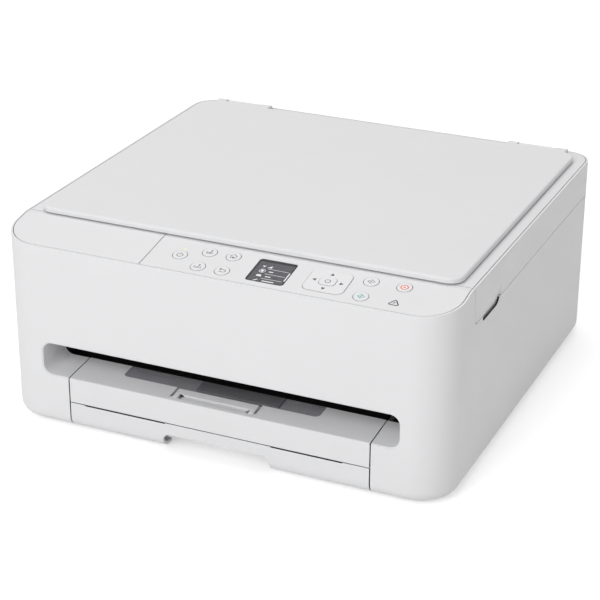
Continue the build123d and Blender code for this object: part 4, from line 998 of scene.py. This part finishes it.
@dataclass(frozen=True)
class ScreenFace(Marks):
    """What the display shows: rows with a small sign each, rules between them and a scroll bar.

    Attributes:
        width: The screen's width in millimetres.
        depth: The screen's depth in millimetres.
    """

    width: float = 30.4
    depth: float = 30.0

    def at(self, u: float, v: float) -> Point:
        """Returns the place in millimetres of a share across and a share down."""
        return ((u - 0.5) * self.width, (0.5 - v) * self.depth)

    def bar(self, u: float, v: float, wide: float, high: float) -> list[Point]:
        """Returns the outline of a bar with its left end at a place, in millimetres."""
        x, y = self.at(u, v)
        return oblong(x, y - high / 2, x + wide, y + high / 2)

    def signs(self) -> list[list[Point]]:
        """Draws the aerial, the bars, the sheet, the tray and the tool.

        Returns:
            Their outlines.
        """
        rows = ((0.22, 0.3, ((-1.6, 1.3), (0.0, -1.4), (1.6, 1.3), (0.0, 0.4))),
                (0.37, 0.3, ((-1.8, -1.3), (1.8, -1.3), (1.8, 1.6))),
                (0.25, 0.5, oblong(-1.1, -1.4, 1.1, 1.4)),
                (0.25, 0.715, ((-2.0, -1.1), (2.0, -1.1), (2.0, 0.4), (1.2, 1.3), (-1.2, 1.3), (-2.0, 0.4))),
                (0.25, 0.92, ((-1.8, -1.2), (-0.5, -1.2), (1.8, 1.3), (0.5, 1.3))))
        made = []
        for u, v, outline in rows:
            x, y = self.at(u, v)
            made.append([(x + across, y + along) for across, along in outline])
        return made

    def build(self) -> None:
        """Makes what the screen shows, its dark border, and a painted shadow band along its top where the
        recess shades it.
        """
        top = Facet.top_of("display_module", reach=0.00005)
        names = [self.bar(0.42, v, wide, 1.1) for v, wide in ((0.5, 3.6), (0.72, 4.4), (0.92, 9.5))]
        shown = (*self.signs(), *names, self.bar(0.93, 0.6, 1.0, 11.0))
        rules = tuple(([self.at(0.36, v), self.at(0.9, v)], False) for v in (0.39, 0.61, 0.82))
        ringed = (arc(*self.at(0.25, 0.5), 2.4, 0, 342, 19), True)
        self.put("screen_signs", top, "pale", "base", "display_gloss", (*rules, ringed), shown, 0.45)
        border = (rounded(self.width - 1.3, self.depth - 1.3, 2.0), True)
        # Painted shadow: a black band along the top, where the panel's recess shades the screen.
        recess_shadow = self.bar(0.03, 0.055, self.width * 0.94, 2.6)
        self.put("screen_border", top, "black", "base", "display_gloss", (border,), (recess_shadow,), 1.2, 0.02)


@dataclass(frozen=True)
class SeamShades(Marks):
    """Painted shade: black lines deep in the seams of the top, round the strip and round the scanner's top
    frame, where the seams are in shade.

    Attributes:
        inset: How far the seam's middle lies inside the body's outline, in millimetres.
        front_r: The outline's front corner radius.
        rear_r: The outline's rear corner radius.
        slope_run: How far the sloping part of the strip reaches back.
        slope: The strip's slope in degrees.
        down: How deep the lines lie.
        split_x: Where the strip's two plates meet.
        split_start: How far behind the front their joint starts.
        strip_depth: Where the strip ends.
        rim_gap: How far behind that the scanner frame's seam starts.
    """

    inset: float = 1.85
    front_r: float = 31.0
    rear_r: float = 20.5
    slope_run: float = 43.0
    slope: float = 9.8
    down: float = 0.4
    split_x: float = -62.2
    split_start: float = 2.6
    strip_depth: float = 48.0
    rim_gap: float = 1.2

    def corners(self, radius: float, behind: float, turns: tuple[Point, ...]) -> list[Point]:
        """Returns the seam round two corners.

        Args:
            radius: The outline's corner radius in millimetres.
            behind: How far behind the front the arcs' centres are.
            turns: Each corner's side, and the angle that its arc starts at.

        Returns:
            The points of both arcs in order.
        """
        return [p for side, turn in turns
                for p in arc(side * (HALF_WIDTH - radius), behind, radius - self.inset, turn, turn + 90, 12)]

    def build(self) -> None:
        """Makes the painted shade lines."""
        tilt = math.radians(self.slope)
        side_x = HALF_WIDTH - self.inset
        rise = TOP - self.slope_run * math.tan(tilt)
        strip = Facet.at(0.0, FRONT_Y, rise, STRIP_OUT).moved(0, 0, -self.down)
        bend = self.corners(self.front_r, self.front_r, ((-1, 180), (1, 270)))
        path = [(-side_x, self.slope_run), *bend, (side_x, self.slope_run)]
        sloped = [(x, y / math.cos(tilt)) for x, y in path]
        split = [(self.split_x, self.split_start), (self.split_x, self.slope_run / math.cos(tilt))]
        flat = Facet.at(0.0, FRONT_Y, TOP).moved(0, 0, -self.down)
        ends = [[(side * side_x, self.slope_run), (side * side_x, self.strip_depth)] for side, _ in SIDES]
        back = [(-side_x, self.strip_depth), (side_x, self.strip_depth)]
        rear = self.corners(self.rear_r, DEPTH - self.rear_r, ((1, 0), (-1, 90)))
        start = self.strip_depth + self.rim_gap
        rim = [(side_x, start), *rear, (-side_x, start)]
        # Painted shade: black lines laid deep in the seams, where they are in shade.
        rows = (("strip_seam", strip, "base", (sloped,), 0.4),
                ("split_seam", strip, "base", (split,), 0.6),
                ("strip_ends", flat, "base", (*ends, back), 0.36),
                ("rim_seam", flat, "scanner_unit", (rim,), 0.4))
        for name, face, body, runs, width in rows:
            lines = tuple((run, False) for run in runs)
            self.put(name, face, "black", body, "top_white", lines, width=width)


@dataclass(frozen=True)
class DrawerShades(Marks):
    """Painted shade: black sheets deep in the gaps round the two drawers and along the seam between them,
    where those gaps are in shade.

    Attributes:
        half: Half the drawers' width, in millimetres.
        gap: The gap beside them.
        base_r: The radius of the case's lower front edge.
        near: Where the painted shade starts behind the front.
        deep: Where it ends on the thin front walls.
        case_high: The height of the painted shade on the case's front walls.
        cassette_high: The height of the painted shade on the cassette's front wall.
        seam: The height of the cassette's top edge.
        seam_run: Where the painted shade on that edge starts and ends behind the front.
        notch: The height of that edge's notches.
        notch_run: Where the painted shade in the notches starts and ends behind the front.
        notches: The ends of each notch across.
        lip: The section of the painted shade beside the tray, on the case.
        tray: The section of the painted shade on the tray's side.
        stop_front: How far behind the front the paper stop's bar starts.
        stop_corners: The painted shadows in the corners beside the paper stop's arms, across and up.
    """

    half: float = 126.5
    gap: float = 1.0
    base_r: float = 9.2
    near: float = 0.35
    deep: float = 2.1
    case_high: float = 41.6
    cassette_high: float = 21.4
    seam: float = 22.0
    seam_run: Point = (0.5, 2.3)
    notch: float = 21.5
    notch_run: Point = (0.1, 1.9)
    notches: tuple[Point, ...] = ((-114.0, -43.0), (46.0, 105.0))
    lip: tuple[Point, ...] = ((0.6, 41.8), (32.4, 41.8), (32.4, 45.8), (0.6, 43.0))
    tray: tuple[Point, ...] = (
        (0.5, 23.2), (12.0, 23.2), (32.4, 24.4), (32.4, 45.6), (1.0, 42.8), (0.5, 42.3))
    stop_front: float = 10.1
    stop_corners: tuple[tuple[Point, ...], ...] = (
        ((-34.5, 42.5), (-30.4, 42.5), (-32.4, 44.3), (-34.5, 44.3)),
        ((25.3, 42.5), (25.3, 44.2), (23.4, 42.5)))

    def wall(self, high: float) -> list[Point]:
        """Draws the section of a front wall with its rounded lower edge.

        Args:
            high: The height of its top.

        Returns:
            The section's points, behind the front and up.
        """
        r = self.base_r
        outer = arc(r, r, r - self.near, 262, 180, 8)
        inner = arc(r, r, r - self.deep, 180, 262, 8)
        return [*outer, (self.near, high), (self.deep, high), *inner]

    def build(self) -> None:
        """Makes the painted shade in every gap and the painted shadows in the paper stop's corners."""
        case, cassette = self.wall(self.case_high), self.wall(self.cassette_high)
        # Painted shade: black sheets deep in the gaps beside the drawers, where the gaps are in shade.
        rows = (("case", self.half + self.gap, -1, "base", "case_white", (case, self.lip)),
                ("cassette", self.half, 1, "cassette_drawer", "drawer_white", (cassette,)),
                ("tray", self.half, 1, "tray_drawer", "drawer_white", (self.tray,)))
        for name, x, facing, body, slot, outlines in rows:
            for side, word in SIDES:
                look = side * facing
                fills = tuple([(look * d, h) for d, h in outline] for outline in outlines)
                face = Facet.sideways(side * x, 0.0, 0.0, look)
                self.put(f"{name}_flock_{word}", face, "black", body, slot, fills=fills, proud=0.02)
        top = Facet.at(0.0, FRONT_Y, FOOT + self.seam)
        edges = [-self.half + 0.3, *(x for pair in self.notches for x in pair), self.half - 0.3]
        near, far = self.seam_run
        high = tuple(oblong(a, near, b, far) for a, b in zip(edges[0::2], edges[1::2]))
        self.put("seam_flock", top, "black", "cassette_drawer", "drawer_white", fills=high, proud=0.02)
        # Painted shadow: black spots in the corners beside the paper stop's arms.
        bar_front = Facet.at(0.0, FRONT_Y + self.stop_front, FOOT, -REARWARD)
        self.put("stop_corners", bar_front, "black", "stop_flap", "drawer_white", fills=self.stop_corners)
        near, far = self.notch_run
        low = tuple(oblong(a + 0.1, near, b - 0.1, far) for a, b in self.notches)
        floor = top.moved(0, 0, self.notch - self.seam)
        self.put("notch_flock", floor, "black", "cassette_drawer", "drawer_white", fills=low, proud=0.02)


@dataclass(frozen=True)
class ScoopShades(Marks):
    """Painted shade: a black strip along the floor of each finger notch of the case, and a black dot in the
    nick at the skirt's corner, where both are in shade.

    Attributes:
        ease: How far inside the body's side the strip starts, in millimetres.
        wide: How wide the strip is.
        thick: How thick it is.
        start: Where the straight run starts behind the front.
        bend_at: Where the bend starts.
        radius: The bend's radius.
        low: The height of the notch's floor.
        turn: The bend's angle in degrees.
        corner: The place of the skirt's lower front corner, behind the front and up.
        nick_floor: How far out the floor of that corner's nick is.
        plug_outline: The black dot's outline from that corner.
    """

    ease: float = 0.15
    wide: float = 1.4
    thick: float = 0.25
    start: float = 71.6
    bend_at: float = 99.4
    radius: float = 9.0
    low: float = 123.5
    turn: float = 60.0
    corner: Point = (53.77, 128.6)
    nick_floor: float = 182.6
    plug_outline: tuple[Point, ...] = (
        (-0.3, -0.3), (0.95, -0.3), (0.95, 0.0), (0.68, 0.68), (0.0, 0.95), (-0.3, 0.95))

    def strip(self, side: int, word: str, dark: Material) -> None:
        """Makes one painted-shade strip: a run along the notch's floor and a bend up its rear end.

        Args:
            side: 1 for the right side, -1 for the left.
            word: The side's name.
            dark: Its material.
        """
        # Painted shade: a black strip on the notch's floor, where the notch is in shade.
        outer = side * (HALF_WIDTH - self.ease)
        inner = side * (HALF_WIDTH - self.ease - self.wide)
        floor = self.low + FOOT
        clear_selection()
        bpy.ops.mesh.primitive_plane_add(size=1.0)
        made = bpy.context.object
        corners = ((inner, floor), (outer, floor), (inner, floor + self.thick), (outer, floor + self.thick))
        for vertex, (x, z) in zip(made.data.vertices, corners):
            vertex.co = (x, FRONT_Y + self.start, z)
        open_mesh()
        extrude(0.0, self.bend_at - self.start, 0.0)
        centre = (outer, FRONT_Y + self.bend_at, floor + self.radius)
        bpy.ops.mesh.spin(steps=8, angle=-math.radians(self.turn), center=centre, axis=(1.0, 0.0, 0.0))
        bpy.ops.mesh.select_all(action="SELECT")
        bpy.ops.mesh.remove_doubles(threshold=0.001)
        close_mesh()
        made.data.transform(Matrix.Scale(MM, 4))
        fasten(made, "scoop_seal_" + word, dark, "base")

    def plug(self, side: int, word: str) -> None:
        """Makes the black dot of painted shade in the nick of the skirt's corner.

        Args:
            side: 1 for the right side, -1 for the left.
            word: The side's name.
        """
        half = (HALF_WIDTH - self.nick_floor) * 0.4
        face = Facet.sideways(side * (self.nick_floor + half), *self.corner, side)
        # Painted shade: a black dot in the nick, where the nick is in shade.
        fill = [(side * d, h) for d, h in self.plug_outline]
        self.put("corner_plug_" + word, face, "black", "scanner_unit", "case_white",
                 fills=(fill,), proud=half)

    def build(self, dark: Material) -> None:
        """Makes both painted-shade strips and both painted-shade dots.

        Args:
            dark: The strips' material.
        """
        for side, word in SIDES:
            self.strip(side, word, dark)
            self.plug(side, word)


@dataclass(frozen=True)
class WindowMarks(Marks):
    """The corner arrow and the sheet-size ticks moulded beside the document glass.

    Attributes:
        left: The place of the glass's left rear corner across, in millimetres.
        rear: Its place along.
        tick: How long a tick is.
        clear: How far it is from the glass.
        down_left: How far each tick on the left is from the corner.
        along_rear: How far each tick at the rear is from the corner.
    """

    left: float = -148.5
    rear: float = 110.5
    tick: float = 2.6
    clear: float = 1.0
    down_left: tuple[float, ...] = (148.0, 182.0, 210.0)
    along_rear: tuple[float, ...] = (148.0, 210.0, 257.0, 279.4)

    def build(self) -> None:
        """Makes the arrow and the ticks."""
        far = self.clear + self.tick
        ticks = [([(-far, -d), (-self.clear, -d)], False) for d in self.down_left]
        ticks += [([(d, self.clear), (d, far)], False) for d in self.along_rear]
        head = arc(-3.4, 3.4, 2.6, 315, 555, 2)
        self.put("window_marks", Facet.at(self.left, self.rear, TOP), "moulded", "scanner_unit", "top_white",
                 tuple(ticks), (head,), 0.6)


@dataclass(frozen=True)
class CassetteMarks(Marks):
    """The paper-width scale on the floor of the cassette.

    Attributes:
        floor: The floor's height in millimetres.
        line_y: The scale's place along.
        halves: Half of each width that has a tick.
        tick: Half of a tick's length.
        head_x: How far the arrowheads are from the middle.
        head: An arrowhead's radius.
    """

    floor: float = 8.7
    line_y: float = -62.5
    halves: tuple[float, ...] = (50.8, 74.0, 92.0, 105.0, 108.0)
    tick: float = 3.0
    head_x: float = 113.0
    head: float = 2.4

    def build(self) -> None:
        """Makes the scale, the same on both sides."""
        lines = []
        for side, _ in SIDES:
            lines.append(([(side * self.halves[0], 0.0), (side * self.halves[-1], 0.0)], False))
            lines += [([(side * half, -self.tick), (side * half, self.tick)], False) for half in self.halves]
        heads = tuple(arc(side * self.head_x, 0.0, self.head, 90 + side * 90, 330 + side * 90, 2)
                      for side, _ in SIDES)
        self.put("cassette_scale", Facet.at(0.0, self.line_y, self.floor), "moulded", "cassette_drawer",
                 "drawer_white", tuple(lines), heads, 0.6)


@dataclass(frozen=True)
class CartridgeLabels(Marks):
    """A plain label on each ink cartridge, with bands for the inks that it holds.

    Attributes:
        top: The height of the cartridges' tops, in millimetres.
        middle_y: Their middle along.
        black_x: The black cartridge's middle across.
        colour_x: The colour cartridge's middle across.
        width: A label's side.
        corner: Its corner radius.
        margin: How far the bands keep from its sides.
        space: The space between two bands.
        band_run: Where a band starts and ends along.
    """

    top: float = 109.5
    middle_y: float = -2.5
    black_x: float = 149.0
    colour_x: float = 115.0
    width: float = 24.0
    corner: float = 1.5
    margin: float = 3.0
    space: float = 1.0
    band_run: Point = (-8.0, 2.0)

    def build(self) -> None:
        """Makes the labels and their bands."""
        body, slot = "print_carriage", "ink_plastic"
        for name, x, bands in (("black", self.black_x, ("black",)),
                               ("colour", self.colour_x, ("cyan", "magenta", "yellow"))):
            face = Facet.at(x, self.middle_y, self.top)
            label = rounded(self.width, self.width, self.corner)
            self.put(name + "_label", face, "pale", body, slot, fills=(label,), proud=0.05)
            step = (self.width - 2 * self.margin) / len(bands)
            half = (step - self.space) / 2
            for number, ink in enumerate(bands):
                middle = -self.width / 2 + self.margin + step * (number + 0.5)
                band = oblong(middle - half, self.band_run[0], middle + half, self.band_run[1])
                self.put(f"{name}_band_{number}", face, ink, body, slot, fills=(band,), proud=0.08)


@dataclass(frozen=True)
class BoardParts:
    """Chips and capacitors that stand on the main circuit board.

    Attributes:
        face_x: Where the board's inner face is, in millimetres.
        chips: Each chip's place along and up, and its two sides.
        cans: Each capacitor's place along and up.
        chip_high: How high a chip stands.
        chip_top: The width of its top's rim, and how far its middle sinks.
        can_r: A capacitor's radius.
        can_high: How high it stands.
        can_top: The width of its top's rim, and how far its middle sinks.
    """

    face_x: float = -174.0
    chips: tuple[tuple[float, float, float, float], ...] = (
        (62.0, 96.0, 13.0, 13.0), (118.0, 72.0, 9.0, 12.0), (146.0, 66.0, 12.0, 7.0))
    cans: tuple[Point, ...] = ((62.0, 70.0), (74.0, 62.0), (150.0, 84.0))
    chip_high: float = 1.6
    chip_top: Point = (0.8, 0.12)
    can_r: float = 3.2
    can_high: float = 9.0
    can_top: Point = (0.5, 0.2)

    def stand(self, made: Thing, y: float, z: float, rim: float, down: float) -> None:
        """Sinks the middle of a piece's top, and stands the piece on the board.

        Args:
            made: The piece, in millimetres, with its top towards +Z.
            y: Its place along the board.
            z: Its place up the board.
            rim: How wide the top's rim is.
            down: How far the middle sinks.
        """
        high = max(v.co.z for v in made.data.vertices)
        for polygon in made.data.polygons:
            polygon.select = polygon.normal.z > 0.9 and polygon.center.z > high - 0.01
        bpy.ops.object.mode_set(mode="EDIT")
        bpy.ops.mesh.select_mode(type="FACE")
        bpy.ops.mesh.inset(thickness=rim, depth=0.0)
        extrude(0.0, 0.0, -down)
        bpy.ops.object.mode_set(mode="OBJECT")
        made.data.transform(Facet.at(self.face_x, y, z, RIGHT, REARWARD).matrix())

    def chip(self, wide: float, high: float) -> Thing:
        """Makes a chip with eased edges.

        Args:
            wide: Its width in millimetres.
            high: Its other side.

        Returns:
            The chip, in millimetres.
        """
        clear_selection()
        bpy.ops.mesh.primitive_cube_add(size=1.0)
        open_mesh()
        bpy.ops.transform.translate(value=(0.0, 0.0, 0.5))
        bpy.ops.transform.resize(value=(wide, high, self.chip_high), center_override=(0.0, 0.0, 0.0))
        bpy.ops.mesh.bevel(offset=0.25, segments=2, affect="EDGES")
        close_mesh()
        return bpy.context.object

    def can(self) -> Thing:
        """Makes a capacitor with a rolled top and a crimp near its foot.

        Returns:
            The capacitor, in millimetres.
        """
        clear_selection()
        bpy.ops.mesh.primitive_circle_add(vertices=32, radius=self.can_r, fill_type="NGON")
        open_mesh()
        steps = ((1.2, 1.0), (0.4, 0.88), (0.4, 1.0 / 0.88), (self.can_high - 2.6, 1.0), (0.6, 0.9))
        for rise, grow in steps:
            extrude(0.0, 0.0, rise)
            bpy.ops.transform.resize(value=(grow, grow, 1.0))
        close_mesh()
        return bpy.context.object

    def build(self, made: dict[str, Material]) -> None:
        """Makes every chip and capacitor.

        Args:
            made: The material of each slot by its name.
        """
        for number, (y, z, wide, high) in enumerate(self.chips):
            chip = self.chip(wide, high)
            self.stand(chip, y, z, *self.chip_top)
            fasten(chip, f"board_chip_{number}", made["black_plastic"], "base")
        for number, (y, z) in enumerate(self.cans):
            can = self.can()
            self.stand(can, y, z, *self.can_top)
            fasten(can, f"board_can_{number}", made["sheet_steel"], "base")


class LightKind(Enum):
    """The studio's soft boxes."""

    TOP = "top"
    FRONT = "front"


@dataclass(frozen=True)
class Studio:
    """The floor, the light and the camera.

    Attributes:
        floor_half: Half of the floor's side in metres.
        sky: How strong the sky's light is.
        glow: How much the floor glows where it is seen.
        floor_tone: The floor's grey.
        camera_at: The camera's place in metres.
        camera_turn: Its angles in degrees.
        lens: Its focal length in millimetres.
        shift: How far its picture is moved.
        light_side: A soft light's side in metres.
        top_at: The upper light's place in metres.
        top_power: Its power in watts.
        front_at: The front light's place.
        front_power: Its power.
    """

    floor_half: float = 12.0
    sky: float = 0.46
    glow: float = 0.42
    floor_tone: float = 0.86
    camera_at: tuple[float, float, float] = (0.559076, -1.272397, 0.696246)
    camera_turn: tuple[float, float, float] = (65.4835, -0.1812, 24.1496)
    lens: float = 110.173
    shift: Point = (0.000837, -0.00019)
    light_side: float = 1.6
    top_at: tuple[float, float, float] = (-0.3, 0.5, 2.4)
    top_power: float = 17.0
    front_at: tuple[float, float, float] = (-0.22, -2.3, 1.5)
    front_power: float = 30.4

    def camera(self) -> None:
        """Adds the camera at the photograph's place."""
        data = bpy.data.cameras.new("camera")
        data.lens = self.lens
        data.sensor_width = 36.0
        data.shift_x, data.shift_y = self.shift
        data.clip_end = 60.0
        camera = bpy.data.objects.new("camera", data)
        camera.location = self.camera_at
        camera.rotation_euler = [math.radians(a) for a in self.camera_turn]
        bpy.context.scene.collection.objects.link(camera)
        bpy.context.scene.camera = camera

    def soft_box(self, kind: LightKind, place: tuple[float, float, float], power: float) -> None:
        """Adds a square soft light that looks at the object.

        Args:
            kind: Which light it is.
            place: Where it stands, in metres.
            power: Its power in watts.
        """
        data = bpy.data.lights.new("light_" + kind.value, "AREA")
        data.shape = "SQUARE"
        data.size = self.light_side
        data.energy = power
        light = bpy.data.objects.new(data.name, data)
        light.location = place
        light.rotation_euler = (Vector(place) - Vector((0, 0, 0.08))).to_track_quat("Z", "Y").to_euler()
        bpy.context.scene.collection.objects.link(light)

    def seen_white(self, tree: bpy.types.NodeTree) -> Socket:
        """Adds an output that is 1 for what the camera sees directly, in gloss or through glass.

        Args:
            tree: The nodes that it is added to.

        Returns:
            The output.
        """
        path = tree.nodes.new("ShaderNodeLightPath")
        total = path.outputs["Is Camera Ray"]
        for name in ("Is Glossy Ray", "Is Transmission Ray"):
            most = tree.nodes.new("ShaderNodeMath")
            most.operation = "MAXIMUM"
            tree.links.new(total, most.inputs[0])
            tree.links.new(path.outputs[name], most.inputs[1])
            total = most.outputs["Value"]
        return total

    def world(self) -> None:
        """Adds an even sky that is seen as white."""
        world = bpy.data.worlds.new("studio")
        bpy.context.scene.world = world
        world.use_nodes = True
        tree = world.node_tree
        tree.nodes.clear()
        mix = tree.nodes.new("ShaderNodeMixShader")
        tree.links.new(self.seen_white(tree), mix.inputs["Fac"])
        for slot, strength in ((1, self.sky), (2, 1.0)):
            light = tree.nodes.new("ShaderNodeBackground")
            light.inputs["Color"].default_value = (1.0, 1.0, 1.0, 1.0)
            light.inputs["Strength"].default_value = strength
            tree.links.new(light.outputs["Background"], mix.inputs[slot])
        output = tree.nodes.new("ShaderNodeOutputWorld")
        tree.links.new(mix.outputs["Shader"], output.inputs["Surface"])

    def floor(self) -> None:
        """Adds a pale floor that is seen as white and keeps the object's shadow."""
        clear_selection()
        bpy.ops.mesh.primitive_plane_add(size=2 * self.floor_half, location=(0, 0, -0.0002))
        floor = bpy.context.object
        floor.name = "studio_floor"
        graph = Graph("studio_floor")
        shade = graph.add("ShaderNodeBsdfDiffuse")
        tone = (self.floor_tone,) * 3
        graph.join(graph.mix(graph.noise(0.4), tone, tuple(t * 1.01 for t in tone)), shade.inputs["Color"])
        glow = graph.add("ShaderNodeEmission")
        seen = graph.spread(self.seen_white(graph.tree), 0.0, self.glow, 0.0, 1.0)
        graph.join(seen, glow.inputs["Strength"])
        both = graph.add("ShaderNodeAddShader")
        graph.join(shade.outputs["BSDF"], both.inputs[0])
        graph.join(glow.outputs["Emission"], both.inputs[1])
        graph.join(both.outputs["Shader"], graph.add("ShaderNodeOutputMaterial").inputs["Surface"])
        floor.data.materials.append(graph.material)

    def build(self) -> None:
        """Sets up the studio."""
        bpy.context.scene.view_settings.view_transform = "Standard"
        self.camera()
        self.world()
        self.floor()
        self.soft_box(LightKind.TOP, self.top_at, self.top_power)
        self.soft_box(LightKind.FRONT, self.front_at, self.front_power)


def main() -> None:
    """Builds the studio, dresses the frame and adds the new pieces."""
    logging.basicConfig(level=logging.INFO, format="%(name)s: %(message)s")
    Studio().build()
    made = Wardrobe().dress()
    inks = Inks().build()
    for group in (KeyMarks, PadMarks, ScreenFace, SeamShades, DrawerShades):
        group(inks).build()
    ScoopShades(inks).build(made["black_plastic"])
    for group in (WindowMarks, CassetteMarks, CartridgeLabels):
        group(inks).build()
    BoardParts().build(made)


if __name__ == "__main__":
    main()
